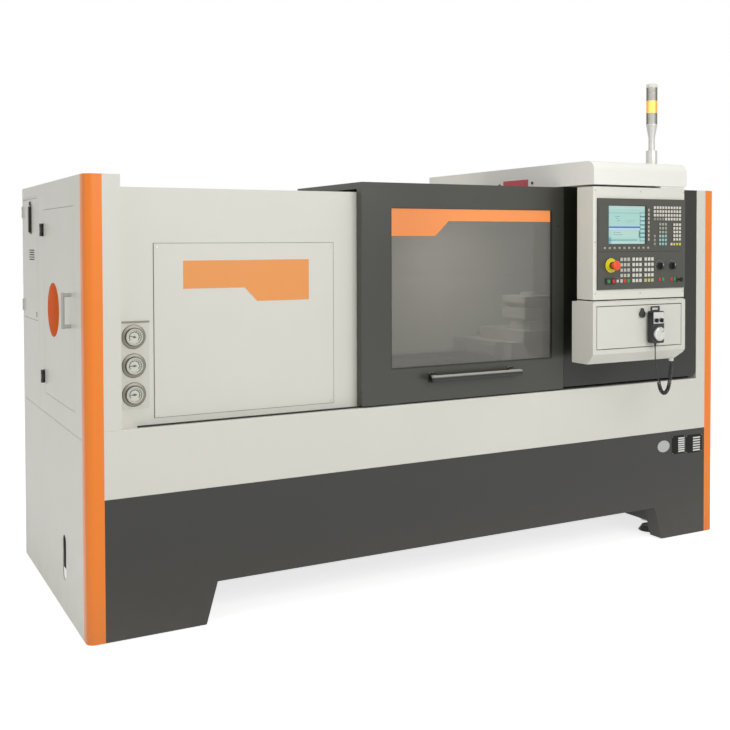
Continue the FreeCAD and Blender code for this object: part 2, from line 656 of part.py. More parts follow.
def loop_band(grow):
    """The outline of a belt round both pulleys, grown by a distance, as a face in the plane x = 0."""
    big = PULLEY_RADIUS + grow
    small = MOTOR_PULLEY_RADIUS + grow
    lean = math.asin((big - small) / (AXIS_Z - MOTOR_AXIS_Z))
    c, s = math.cos(lean), math.sin(lean)
    top_right = Vector(0, AXIS_Y + big * c, AXIS_Z - big * s)
    top_left = Vector(0, AXIS_Y - big * c, AXIS_Z - big * s)
    low_right = Vector(0, AXIS_Y + small * c, MOTOR_AXIS_Z - small * s)
    low_left = Vector(0, AXIS_Y - small * c, MOTOR_AXIS_Z - small * s)
    edges = [Part.Arc(top_right, Vector(0, AXIS_Y, AXIS_Z + big), top_left).toShape(),
             Part.LineSegment(top_left, low_left).toShape(),
             Part.Arc(low_left, Vector(0, AXIS_Y, MOTOR_AXIS_Z - small), low_right).toShape(),
             Part.LineSegment(low_right, top_right).toShape()]
    return Part.Face(Part.Wire(edges))


def drive_belt():
    ring = loop_band(SLIDE_GAP + BELT_THICK).cut(loop_band(SLIDE_GAP))
    solid = ring.extrude(Vector(BELT_WIDTH, 0, 0))
    solid.translate(Vector(PULLEY_LEFT + (PULLEY_WIDTH - BELT_WIDTH) / 2, 0, 0))
    return solid


def drive_motors():
    x = HEAD_LEFT + 12
    body = rod(x, AXIS_Y, MOTOR_AXIS_Z, MOTOR_RADIUS, MOTOR_LENGTH, (1, 0, 0))
    foot = box(x + 10, MOTOR_FOOT_RIGHT - 4, AXIS_Y - 85, AXIS_Y + 85, MOTOR_AXIS_Z - MOTOR_RADIUS - 8,
               MOTOR_AXIS_Z - 70)
    terminal = box(x + 30, x + 130, AXIS_Y - 45, AXIS_Y + 45, MOTOR_AXIS_Z + 60,
                   MOTOR_AXIS_Z + MOTOR_RADIUS + 34)
    bore = rod(x - 1, AXIS_Y, MOTOR_AXIS_Z, 24 + RUN_FIT, 72, (1, 0, 0))
    fins = []
    for turn in range(16):
        angle = math.radians(11.25 + turn * 22.5)
        fin = box(x + 20, x + MOTOR_LENGTH - 16, -3, 3, MOTOR_RADIUS - 4, MOTOR_RADIUS + 7)
        fin.translate(Vector(0, AXIS_Y, MOTOR_AXIS_Z))
        fin.rotate(Vector(0, AXIS_Y, MOTOR_AXIS_Z), Vector(1, 0, 0), math.degrees(angle))
        fins.append(fin)
    spindle_motor = fused([body, foot, terminal] + fins).cut(bore)
    feed_x = BED_RIGHT - 120 + 0.3
    flange = box(feed_x, feed_x + 12, SCREW_Y - 48, SCREW_Y + 48, SCREW_Z - 48, SCREW_Z + 30)
    case = rounded(box(feed_x + 11, feed_x + 118, SCREW_Y - 42, SCREW_Y + 36, SCREW_Z - 42, SCREW_Z + 30),
                   8, (1, 0, 0))
    feed_motor = fused([flange, case]).cut(rod(feed_x - 1, SCREW_Y, SCREW_Z, SCREW_RADIUS + RUN_FIT, 40,
                                               (1, 0, 0)))
    feed_motor = feed_motor.cut(box(feed_x - 5, feed_x + 130, BED_FRONT, BED_REAR, BED_BOTTOM, BED_TOP))
    return Part.makeCompound([spindle_motor, feed_motor])


def chuck():
    x = NOSE_FACE
    half = [(x, CHUCK_BORE), (x, CHUCK_RADIUS - 4), (x + 4, CHUCK_RADIUS), (x + CHUCK_LENGTH - 6,
                                                                            CHUCK_RADIUS),
            (x + CHUCK_LENGTH, CHUCK_RADIUS - 6), (x + CHUCK_LENGTH, CHUCK_BORE)]
    wire = Part.makePolygon([Vector(px, AXIS_Y, AXIS_Z + r) for px, r in half + half[:1]])
    body = Part.Face(wire).revolve(Vector(0, AXIS_Y, AXIS_Z), Vector(1, 0, 0), 360)
    slots = []
    for turn in range(3):
        slots.append(around_axis(jaw_tongue(SLIDE_GAP, CHUCK_BORE - 2, CHUCK_RADIUS + 10), turn))
    return body.cut(slots)


def jaw_tongue(gap, inner, reach):
    """The T-shaped foot of a jaw, pointing up; the same form, grown and longer, is its slot."""
    x = CHUCK_FACE
    low = AXIS_Z + inner
    neck = JAW_WIDTH / 2 - 8
    stem = box(x - 34, x + 1, AXIS_Y - neck - gap, AXIS_Y + neck + gap, low, AXIS_Z + reach)
    tee = box(x - 34 - gap, x - 20 + gap, AXIS_Y - JAW_WIDTH / 2 - gap, AXIS_Y + JAW_WIDTH / 2 + gap,
              low, AXIS_Z + reach)
    return fused([stem, tee])


def around_axis(shape, turn):
    """A copy turned about the spindle axis by a third of a turn at a time."""
    moved = shape.copy()
    moved.rotate(Vector(0, AXIS_Y, AXIS_Z), Vector(1, 0, 0), 120 * turn)
    return moved


def chuck_jaw(turn):
    x = CHUCK_FACE + SLIDE_GAP
    low = AXIS_Z + CHUCK_BORE + JAW_STROKE + 1.5
    tongue = jaw_tongue(0, CHUCK_BORE + JAW_STROKE + 1.5, CHUCK_RADIUS - 14)
    first = box(x, x + 24, AXIS_Y - JAW_WIDTH / 2, AXIS_Y + JAW_WIDTH / 2, low, low + 74)
    second = box(x + 23, x + 44, AXIS_Y - JAW_WIDTH / 2, AXIS_Y + JAW_WIDTH / 2, low, low + 38)
    screws = [rod(x + 18, AXIS_Y, low + 56, 7, 20, (1, 0, 0)), rod(x + 38, AXIS_Y, low + 20, 7, 20,
                                                                   (1, 0, 0))]
    return around_axis(fused([tongue, first, second]).cut(screws), turn)


def carriage():
    right = SADDLE_LEFT + SADDLE_LENGTH
    top = BED_TOP + SADDLE_THICK
    wings = box(SADDLE_LEFT, right, BED_FRONT - 22, BED_REAR + 22, BED_TOP + SLIDE_GAP, top)
    waist = 62.0
    bay = box(SADDLE_LEFT + waist, right - waist, BED_REAR - 36, BED_REAR + 23, BED_TOP, top + 1)
    vee = way_groove(2 * SLIDE_GAP, SADDLE_LEFT - 10, right + 1)
    skirt = box(SADDLE_LEFT + 40, right - 40, SCREW_Y - 42, BED_FRONT - SLIDE_GAP - 1, SCREW_Z - 40, top - 8)
    rail_middle = CROSS_LEFT + CROSS_LENGTH / 2
    rail = dovetail(rail_middle, top - 1, top + 22, 0.0, CROSS_FRONT + 24, BED_REAR + 20)
    front_strip = box(SADDLE_LEFT + 40, right - 40, SCREW_Y - 42, BED_FRONT - 20, top - 30, top)
    nut = rod(SADDLE_LEFT, SCREW_Y, SCREW_Z, SCREW_RADIUS + RUN_FIT, SADDLE_LENGTH, (1, 0, 0))
    wipers = [box(SADDLE_LEFT - 9, SADDLE_LEFT + 1, BED_FRONT - 14, BED_FRONT + 84, BED_TOP + SLIDE_GAP,
                  top - 14),
              box(SADDLE_LEFT - 9, SADDLE_LEFT + 1, BED_REAR - 84, BED_REAR + 14, BED_TOP + SLIDE_GAP,
                  top - 14)]
    return fused([wings, skirt, front_strip, rail] + wipers).cut([bay, vee, nut])


def dovetail(x_middle, z0, z1, gap, y0, y1):
    """A dovetail rail along y, wider at its top."""
    narrow = 52.0 + gap
    wide = 64.0 + gap
    return prism_y([(x_middle - narrow, z0), (x_middle + narrow, z0), (x_middle + wide, z1),
                    (x_middle - wide, z1)], y0, y1)


def cross_slide():
    top = BED_TOP + SADDLE_THICK
    right = CROSS_LEFT + CROSS_LENGTH
    slab = box(CROSS_LEFT, right, CROSS_FRONT, CROSS_FRONT + CROSS_DEPTH, top + SLIDE_GAP, top + CROSS_THICK)
    slab = rounded(slab, 10, (0, 0, 1))
    middle = CROSS_LEFT + CROSS_LENGTH / 2
    way = dovetail(middle, top - 1 - 0.4, top + 22 + 0.5, 0.6, CROSS_FRONT - 1,
                   CROSS_FRONT + CROSS_DEPTH + 1)
    turret_y = CROSS_FRONT + 112
    base = rod(middle, turret_y, top + CROSS_THICK - 1, 82, TURRET_BASE - SLIDE_GAP + 1, (0, 0, 1))
    case = box(middle - 60, middle + 60, turret_y - 92, turret_y, top + CROSS_THICK - 1,
               top + CROSS_THICK + 40)
    grooves = []
    for x in (CROSS_LEFT + 16, right - 16 - 12):
        grooves.append(box(x, x + 12, CROSS_FRONT + 230, CROSS_FRONT + CROSS_DEPTH + 1,
                           top + CROSS_THICK - 12,
                           top + CROSS_THICK + 1))
    return fused([slab, base, case]).cut([way] + grooves)


def turret_head():
    top = BED_TOP + SADDLE_THICK + CROSS_THICK + TURRET_BASE
    middle = CROSS_LEFT + CROSS_LENGTH / 2
    turret_y = CROSS_FRONT + 112
    half = TURRET_SIDE / 2
    block = box(middle - half, middle + half, turret_y - half, turret_y + half, top, top + TURRET_HEIGHT)
    block = rounded(block, 14, (0, 0, 1))
    slot_z = AXIS_Z - TOOL_SHANK
    slots = []
    for turn in range(4):
        cutter = box(middle - half - 1, middle + half + 1, turret_y + half - TOOL_SLOT_DEPTH,
                     turret_y + half + 1,
                     slot_z, slot_z + TOOL_SLOT)
        cutter.rotate(Vector(middle, turret_y, 0), Vector(0, 0, 1), 90 * turn)
        slots.append(cutter)
    cap = rod(middle, turret_y, top + TURRET_HEIGHT - 1, 34, 17, (0, 0, 1))
    body = fused([block.cut(slots), cap])
    bit = prism_z([(middle - 70, turret_y + half - TOOL_SLOT_DEPTH), (middle + 60,
                                                                      turret_y + half - TOOL_SLOT_DEPTH),
                   (middle + 60, turret_y + half - 4), (middle - 60,
                                                        turret_y + half - 4)], slot_z, slot_z + TOOL_SHANK)
    tool_nose = prism_z([(middle - half - 26, turret_y + half - 2), (middle - 66,
                                                                     turret_y + half - TOOL_SLOT_DEPTH),
                         (middle - 56, turret_y + half - 4), (middle - half - 12, turret_y + half + 2)],
                        slot_z + 4, slot_z + TOOL_SHANK)
    return fused([body, bit, tool_nose])


def tailstock():
    right = TAIL_LEFT + TAIL_LENGTH
    foot = box(TAIL_LEFT, right, BED_FRONT - 8, BED_REAR + 8, BED_TOP + SLIDE_GAP, BED_TOP + 46)
    vee = way_groove(2 * SLIDE_GAP, TAIL_LEFT - 1, right + 1)
    neck = prism_x([(AXIS_Y - 105, BED_TOP + 45), (AXIS_Y + 105, BED_TOP + 45), (AXIS_Y + 66, AXIS_Z),
                    (AXIS_Y - 66, AXIS_Z)],
                   TAIL_LEFT + 20, right)
    barrel = rod(TAIL_LEFT, AXIS_Y, AXIS_Z, 70, TAIL_LENGTH, (1, 0, 0))
    cap = rod(right - 1, AXIS_Y, AXIS_Z, 52, 22, (1, 0, 0))
    bore = rod(TAIL_LEFT - 1, AXIS_Y, AXIS_Z, QUILL_RADIUS + RUN_FIT, TAIL_LENGTH - 20, (1, 0, 0))
    return fused([foot, neck, barrel, cap]).cut([vee, bore])


def quill():
    x0 = TAIL_LEFT - 22
    length = TAIL_LENGTH - 60
    half = [(x0, 0), (x0, QUILL_RADIUS - 2), (x0 + 2, QUILL_RADIUS), (x0 + length, QUILL_RADIUS),
            (x0 + length, 0)]
    wire = Part.makePolygon([Vector(x, AXIS_Y, AXIS_Z + r) for x, r in half + half[:1]])
    barrel = Part.Face(wire).revolve(Vector(0, AXIS_Y, AXIS_Z), Vector(1, 0, 0), 360)
    centre = Part.makeCone(0.4, 17, 30, Vector(x0 - 34, AXIS_Y, AXIS_Z), Vector(1, 0, 0))
    collar = rod(x0 - 5, AXIS_Y, AXIS_Z, 22, 6, (1, 0, 0))
    return fused([barrel, collar, centre])


def feed_screw():
    left = BED_LEFT + 420
    right = BED_RIGHT - 120
    screw = rod(left, SCREW_Y, SCREW_Z, SCREW_RADIUS, right - left + 30, (1, 0, 0))
    collar = rod(left + 40.3, SCREW_Y, SCREW_Z, SCREW_RADIUS + 6, 12, (1, 0, 0))
    return fused([screw, collar])


# ---------------------------------------------------------------- sheet-metal enclosure
def corner_strips():
    """Two tall posts with a large outer rounding, one at each front corner."""
    strips = []
    for side in (0, 1):
        outer = box(0, STRIP_FRONT, 0, STRIP_SIDE, FLOOR_GAP, HEIGHT)
        outer = rounded(outer, STRIP_ROUND, (0, 0, 1), lambda m: m.x < 1 and m.y < 1)
        inner = box(SHEET, STRIP_FRONT + 1, SHEET, STRIP_SIDE + 1, FLOOR_GAP - 1, HEIGHT - SHEET)
        inner = rounded(inner, STRIP_ROUND - SHEET, (0, 0, 1), lambda m: m.x < SHEET + 1 and m.y < SHEET + 1)
        strip = outer.cut(inner)
        if side == 1:
            strip = strip.mirror(Vector(LENGTH / 2, 0, 0), Vector(1, 0, 0))
        strips.append(strip)
    return Part.makeCompound(strips)


def front_apron():
    left, right = STRIP_FRONT, LENGTH - STRIP_FRONT
    foot_right = LENGTH - FOOT_RIGHT_MARGIN
    outline = [(left, FLOOR_GAP), (FOOT_LEFT, FLOOR_GAP), (FOOT_LEFT + FOOT_SLANT, FOOT_CUT_HEIGHT),
               (foot_right - FOOT_SLANT, FOOT_CUT_HEIGHT), (foot_right, FLOOR_GAP), (right, FLOOR_GAP),
               (right, APRON_TOP - SEAM), (left, APRON_TOP - SEAM)]
    face = prism_y(outline, 0, SHEET)
    returns = []
    for a, b in ((1, 2), (4, 3)):
        low, high = outline[a], outline[b]
        sign = -1 if a == 1 else 1
        flange = prism_y([low, high, (high[0] + sign * SHEET, high[1]), (low[0] + sign * SHEET, low[1])], 0,
                         FOOT_RETURN)
        returns.append(flange)
    hem = box(FOOT_LEFT + FOOT_SLANT - 1, foot_right - FOOT_SLANT + 1, 0, 30, FOOT_CUT_HEIGHT,
              FOOT_CUT_HEIGHT + SHEET)
    side_tabs = [box(left, left + SHEET, 0, 40, FLOOR_GAP, APRON_TOP - SEAM),
                 box(right - SHEET, right, 0, 40, FLOOR_GAP, APRON_TOP - SEAM)]
    return fused([face, hem] + returns + side_tabs)


def front_band():
    left, right = STRIP_FRONT, LENGTH - STRIP_FRONT
    face = box(left, right, 0, SHEET, APRON_TOP, BAND_TOP)
    lip = box(left, right, 0, 34, APRON_TOP, APRON_TOP + SHEET)
    ledge = box(COLUMN_EDGE, RIGHT_COLUMN_LEFT, 0, RECESS + SHEET, BAND_TOP - SHEET, BAND_TOP)
    band = fused([face, lip, ledge])
    return rounded(band, 2.4, (1, 0, 0), lambda m: m.y < 1 and m.z > BAND_TOP - 1)


def headstock_guard():
    """The folded sheet round the headstock: column, recessed front, roof and the wall at the chuck."""
    top = GUARD_TOP
    inner = COLUMN_EDGE - SHEET
    pieces = [box(STRIP_FRONT, COLUMN_EDGE, 0, SHEET, BAND_TOP, HEIGHT),
              box(inner, COLUMN_EDGE, 0, RECESS + SHEET, BAND_TOP, HEIGHT),
              box(inner, COLUMN_EDGE, RECESS, ROOF_REAR, top - SHEET, HEIGHT),
              box(STRIP_FRONT, COLUMN_EDGE, 0, ROOF_REAR, HEIGHT - SHEET, HEIGHT),
              box(inner, GUARD_END, RECESS, RECESS + SHEET, BAND_TOP, top),
              box(inner, GUARD_END, RECESS, ROOF_REAR, top - SHEET, top),
              box(GUARD_END - SHEET, GUARD_END, RECESS, BACK_WALL, BED_TOP + VEE_RISE + 2, top),
              box(GUARD_END - SHEET, GUARD_END, RECESS, BED_FRONT - 60, BAND_TOP, top)]
    shell = fused(pieces)
    service_hole = box(COVER_LEFT + COVER_LAP, COVER_RIGHT - COVER_LAP, RECESS - 1, RECESS + SHEET + 1,
                       COVER_BOTTOM + COVER_LAP, COVER_TOP - COVER_LAP)
    chuck_hole = rod(GUARD_END - SHEET - 1, AXIS_Y, AXIS_Z, CHUCK_RADIUS - 20, SHEET + 2, (1, 0, 0))
    return shell.cut([service_hole, chuck_hole])


def service_cover():
    plate = box(COVER_LEFT, COVER_RIGHT, RECESS - COVER_THICK, RECESS, COVER_BOTTOM, COVER_TOP)
    holes = []
    for x in (COVER_LEFT + 11, COVER_RIGHT - 11):
        for z in (COVER_BOTTOM + 11, COVER_TOP - 11):
            holes.append(rod(x, RECESS - COVER_THICK - 1, z, 3, COVER_THICK + 2, (0, 1, 0)))
    return plate.cut(holes)


def side_panels():
    """Lower and upper sheets of the left end, with the frame of its door, and the two of the right end."""
    panels = []
    for side in (0, 1):
        low = box(0, SHEET, STRIP_SIDE, DEPTH, FLOOR_GAP, SEAM_HEIGHT - SEAM)
        low_fold = box(0, 30, DEPTH - SHEET, DEPTH, FLOOR_GAP, SEAM_HEIGHT - SEAM)
        low_top = box(0, 60, STRIP_SIDE + 20, REAR_Y, SEAM_HEIGHT - SEAM - SHEET, SEAM_HEIGHT - SEAM)
        lower = fused([low, low_fold, low_top])
        high = box(0, SHEET, STRIP_SIDE, CABINET_FRONT - SEAM, SEAM_HEIGHT, HEIGHT)
        fold = box(0, STRIP_FRONT - SEAM, STRIP_SIDE + 1, ROOF_REAR, HEIGHT - SHEET, HEIGHT)
        rear_fold = box(0, 24, CABINET_FRONT - SEAM - SHEET, CABINET_FRONT - SEAM, SEAM_HEIGHT, HEIGHT)
        upper = fused([high, fold, rear_fold])
        if side == 0:
            lower = lower.cut(slot_cut(-1, SHEET + 1, SLOT_Y, SLOT_Z, SLOT_LENGTH, SLOT_WIDTH))
            rim = 12.0
            upper = upper.cut(box(-1, SHEET + 1, SIDE_DOOR_FRONT - SEAM, SIDE_DOOR_REAR + SEAM,
                                  SIDE_DOOR_BOTTOM - SEAM, SIDE_DOOR_TOP + SEAM))
            stop = box(SHEET + 1.2, SHEET + 3.2, SIDE_DOOR_FRONT - 16, SIDE_DOOR_REAR + 16,
                       SIDE_DOOR_BOTTOM - 16,
                       SIDE_DOOR_TOP + 16)
            stop = stop.cut(box(0, SHEET + 4, SIDE_DOOR_FRONT + rim, SIDE_DOOR_REAR - rim,
                                SIDE_DOOR_BOTTOM + rim,
                                SIDE_DOOR_TOP - rim))
            frame = box(SHEET - 1, SHEET + 3.2, SIDE_DOOR_FRONT - 16, SIDE_DOOR_REAR + 16,
                        SIDE_DOOR_BOTTOM - 16,
                        SIDE_DOOR_TOP + 16)
            frame = frame.cut(box(0, SHEET + 4, SIDE_DOOR_FRONT - SEAM, SIDE_DOOR_REAR + SEAM,
                                  SIDE_DOOR_BOTTOM - SEAM, SIDE_DOOR_TOP + SEAM))
            hinges = fixed_hinges(SIDE_DOOR_REAR + PIN_OFFSET, SIDE_HINGE_HEIGHTS, KNUCKLE_RADIUS,
                                  PIN_RADIUS, 30.0)
            upper = fused([upper, frame, stop] + hinges)
        else:
            lower = lower.mirror(Vector(LENGTH / 2, 0, 0), Vector(1, 0, 0))
            upper = upper.mirror(Vector(LENGTH / 2, 0, 0), Vector(1, 0, 0))
        panels += [lower, upper]
    return Part.makeCompound(panels)


def fixed_hinges(pin_y, heights, knuckle, pin_radius, leaf_width):
    """The fixed half of each outside hinge of a left-hand door, with its pin."""
    leaves = []
    pin_x = -knuckle - HINGE_CLEAR
    third = HINGE_LENGTH / 3
    for z in heights:
        low = z - HINGE_LENGTH / 2
        leaf = box(-LEAF_THICK, 0.5, pin_y + 0.5, pin_y + leaf_width, low, low + HINGE_LENGTH)
        gap = box(-LEAF_THICK - 1, 0, pin_y, pin_y + knuckle + 2, z - third / 2 - 0.4, z + third / 2 + 0.4)
        pin = rod(pin_x, pin_y, low, pin_radius, HINGE_LENGTH, (0, 0, 1))
        knuckles = []
        for start in (low, z + third / 2 + 0.4):
            knuckles.append(rod(pin_x, pin_y, start, knuckle, third - 0.4, (0, 0, 1)))
            knuckles.append(box(pin_x, -0.1, pin_y, pin_y + knuckle, start, start + third - 0.4))
        leaves.append(fused([leaf.cut(gap), pin] + knuckles))
    return leaves


def door_hinges(pin_y, heights, knuckle, pin_radius, leaf_width):
    """The door's half of each outside hinge: a leaf, a neck and the middle knuckle."""
    halves = []
    pin_x = -knuckle - HINGE_CLEAR
    third = HINGE_LENGTH / 3
    neck = 4.0
    outer = pin_x - knuckle + 1
    inner_edge = pin_y - HINGE_SETBACK
    for z in heights:
        low, high = z - third / 2, z + third / 2
        middle = rod(pin_x, pin_y, low, knuckle, third, (0, 0, 1))
        leaf = box(-LEAF_THICK, 0.5, inner_edge - leaf_width, inner_edge, z - HINGE_LENGTH / 2,
                   z + HINGE_LENGTH / 2)
        link = box(outer, outer + neck, inner_edge - neck, pin_y, low, high)
        web = box(outer, -0.5, inner_edge - neck, inner_edge, low, high)
        joined = fused([middle, leaf, link, web])
        halves.append(joined.cut(rod(pin_x, pin_y, z - third, pin_radius + RUN_FIT, third * 2, (0, 0, 1))))
    return halves


def side_door():
    face = box(0, SHEET, SIDE_DOOR_FRONT, SIDE_DOOR_REAR, SIDE_DOOR_BOTTOM, SIDE_DOOR_TOP)
    hinges = door_hinges(SIDE_DOOR_REAR + PIN_OFFSET, SIDE_HINGE_HEIGHTS, KNUCKLE_RADIUS, PIN_RADIUS, 27.0)
    return fused([face] + hinges + pull_handle(SIDE_PULL_Y, SIDE_PULL_Z, PULL_BASE))


def fixed_panel():
    """The dark sheet right of the sliding door and the roof behind it."""
    left = DOOR_RIGHT + SEAM
    right = RIGHT_COLUMN_LEFT - SEAM
    outline = box(left, right, 0, SHEET, BAND_TOP + 14, HEIGHT)
    outline = rounded(outline, 24, (0, 1, 0), lambda m: m.x > right - 1 and m.z < BAND_TOP + 15)
    hem = box(left, left + SHEET, 0, RECESS, BAND_TOP + 14, HEIGHT)
    roof = box(left, right, 0, CABINET_FRONT - SEAM, HEIGHT - SHEET, HEIGHT)
    inner = box(left, right, RECESS, RECESS + SHEET, BAND_TOP, HEIGHT - SHEET + 1)
    joggle = [box(left, left + SHEET, SHEET - 1, RECESS + 1, BAND_TOP + 14, HEIGHT - 1),
              box(right - 30, right - 30 + SHEET, SHEET - 1, RECESS + 1, BAND_TOP + 60, HEIGHT - 1)]
    return fused([outline, hem, roof, inner] + joggle)


def rear_panels():
    """Back splash wall, its roof strip, the right end wall with its column, and the sheets behind."""
    splash = fused([box(GUARD_END + SEAM, RIGHT_COLUMN_LEFT, BACK_WALL, BACK_WALL + SHEET, BED_TOP - 110,
                        GUARD_TOP),
                    box(GUARD_END + SEAM, DOOR_RIGHT - SEAM, ROOF_OPENING_REAR, ROOF_REAR,
                        GUARD_TOP - SHEET, GUARD_TOP),
                    box(GUARD_END + SEAM, RIGHT_COLUMN_LEFT, BACK_WALL + 1, BACK_WALL + 30,
                        GUARD_TOP - SHEET, GUARD_TOP)])
    column = fused([box(RIGHT_COLUMN_LEFT, LENGTH - STRIP_FRONT, 0, SHEET, BAND_TOP, HEIGHT),
                    box(RIGHT_COLUMN_LEFT, RIGHT_COLUMN_LEFT + SHEET, 0, BACK_WALL + SHEET, BAND_TOP,
                        HEIGHT),
                    box(RIGHT_COLUMN_LEFT, LENGTH - STRIP_FRONT, 0, CABINET_FRONT - SEAM, HEIGHT - SHEET,
                        HEIGHT)])
    skirt = fused([box(30 + SEAM, LENGTH - 30 - SEAM, REAR_Y, DEPTH, FOOT_CUT_HEIGHT, SEAM_HEIGHT),
                   box(CABINET_END + SEAM, LENGTH - SEAM, CABINET_FRONT + SEAM, DEPTH, SEAM_HEIGHT,
                       SEAM_HEIGHT + SHEET)])
    tall = fused([box(CABINET_END + SEAM, LENGTH - 30, CABINET_FRONT - SHEET - SEAM, CABINET_FRONT - SEAM,
                      SEAM_HEIGHT, HEIGHT - SHEET),
                  box(CABINET_END + SEAM, CABINET_END + SEAM + 20, CABINET_FRONT - SHEET - SEAM,
                      CABINET_FRONT + SEAM,
                      SEAM_HEIGHT + SHEET, HEIGHT - SHEET)])
    return Part.makeCompound([splash, column, skirt, tall])


def electrical_cabinet():
    outer = box(0, CABINET_END, CABINET_FRONT, DEPTH, CABINET_BOTTOM, HEIGHT)
    outer = rounded(outer, 12, (1, 0, 0), lambda m: m.z > HEIGHT - 1 and m.y > DEPTH - 1)
    inner = box(SHEET, CABINET_END - SHEET, CABINET_FRONT + SHEET, DEPTH - SHEET, CABINET_BOTTOM + SHEET,
                HEIGHT - SHEET)
    opening = box(-1, SHEET + 1, CAB_DOOR_FRONT - SEAM, CAB_DOOR_REAR + SEAM, CAB_DOOR_BOTTOM - SEAM,
                  CAB_DOOR_TOP + SEAM)
    shell = outer.cut([inner, opening])
    frame = box(SHEET - 1, 12, CAB_DOOR_FRONT - 10, CAB_DOOR_REAR + 10, CAB_DOOR_BOTTOM - 10,
                CAB_DOOR_TOP + 10)
    frame = frame.cut(box(0, 13, CAB_DOOR_FRONT - SEAM, CAB_DOOR_REAR + SEAM, CAB_DOOR_BOTTOM - SEAM,
                          CAB_DOOR_TOP + SEAM))
    gap_slot = box(-1, SHEET + 1, CAB_DOOR_FRONT + 20, CAB_DOOR_REAR - 6, CAB_DOOR_TOP + 4,
                   CAB_DOOR_TOP + 10)
    hinges = fixed_hinges(CAB_DOOR_REAR + PIN_OFFSET, CAB_HINGE_HEIGHTS, CAB_KNUCKLE_RADIUS, CAB_PIN_RADIUS,
                          DEPTH - CAB_DOOR_REAR - 10)
    return fused([shell.cut(gap_slot), frame] + hinges)


def cabinet_door():
    face = box(0, SHEET, CAB_DOOR_FRONT, CAB_DOOR_REAR, CAB_DOOR_BOTTOM, CAB_DOOR_TOP)
    slots = []
    for row in range(LOUVRE_COUNT):
        z = LOUVRE_TOP - row * LOUVRE_PITCH
        slots.append(box(-1, SHEET + 1, LOUVRE_Y - LOUVRE_LENGTH / 2, LOUVRE_Y + LOUVRE_LENGTH / 2,
                         z - LOUVRE_SLOT, z))
    hinges = door_hinges(CAB_DOOR_REAR + PIN_OFFSET, CAB_HINGE_HEIGHTS, CAB_KNUCKLE_RADIUS, CAB_PIN_RADIUS,
                         14.0)
    lock = rod(-4, CAB_DOOR_FRONT + 26, CAB_DOOR_BOTTOM + 24, 11, 4.5, (1, 0, 0))
    plate = box(-LATCH_THICK, 0.5, LATCH_Y - LATCH_WIDTH / 2, LATCH_Y + LATCH_WIDTH / 2,
                LATCH_TOP - LATCH_HEIGHT, LATCH_TOP)
    plate = rounded(plate, LATCH_ROUND, (1, 0, 0))
    barrel = rod(-BARREL_RISE, LATCH_Y + BARREL_RADIUS, LATCH_TOP + BARREL_RADIUS - 1, BARREL_RADIUS,
                 BARREL_RISE + 0.5, (1, 0, 0))
    bore = rod(-LATCH_THICK - 1, LATCH_Y, LEVER_HIGH, LATCH_SPINDLE + RUN_FIT, LATCH_THICK + SHEET + 2,
               (1, 0, 0))
    return fused([face.cut(slots), lock, plate, barrel] + hinges).cut(bore)


def cabinet_latch():
    """The lever of the cabinet's lock: its spindle goes through plate and door to the rod disc."""
    back = -LATCH_THICK - RUN_FIT
    front = back - LEVER_THICK
    low = LATCH_TOP - LATCH_HEIGHT + LEVER_INSET + LEVER_TOE / 2
    head = rod(front, LATCH_Y, LEVER_HIGH, LEVER_WIDTH / 2, LEVER_THICK, (1, 0, 0))
    toe = rod(front, LATCH_Y, low, LEVER_TOE / 2, LEVER_THICK, (1, 0, 0))
    blade = prism_x([(LATCH_Y - LEVER_WIDTH / 2, LEVER_HIGH), (LATCH_Y - LEVER_TOE / 2, low),
                     (LATCH_Y + LEVER_TOE / 2, low), (LATCH_Y + LEVER_WIDTH / 2, LEVER_HIGH)], front, back)
    inside = SHEET + RUN_FIT
    spindle = rod(back - 1, LATCH_Y, LEVER_HIGH, LATCH_SPINDLE, inside - back + 2, (1, 0, 0))
    disc = rod(inside, LATCH_Y, LEVER_HIGH, ROD_DISC_RADIUS, ROD_DISC_THICK, (1, 0, 0))
    return fused([head, toe, blade, spindle, disc])


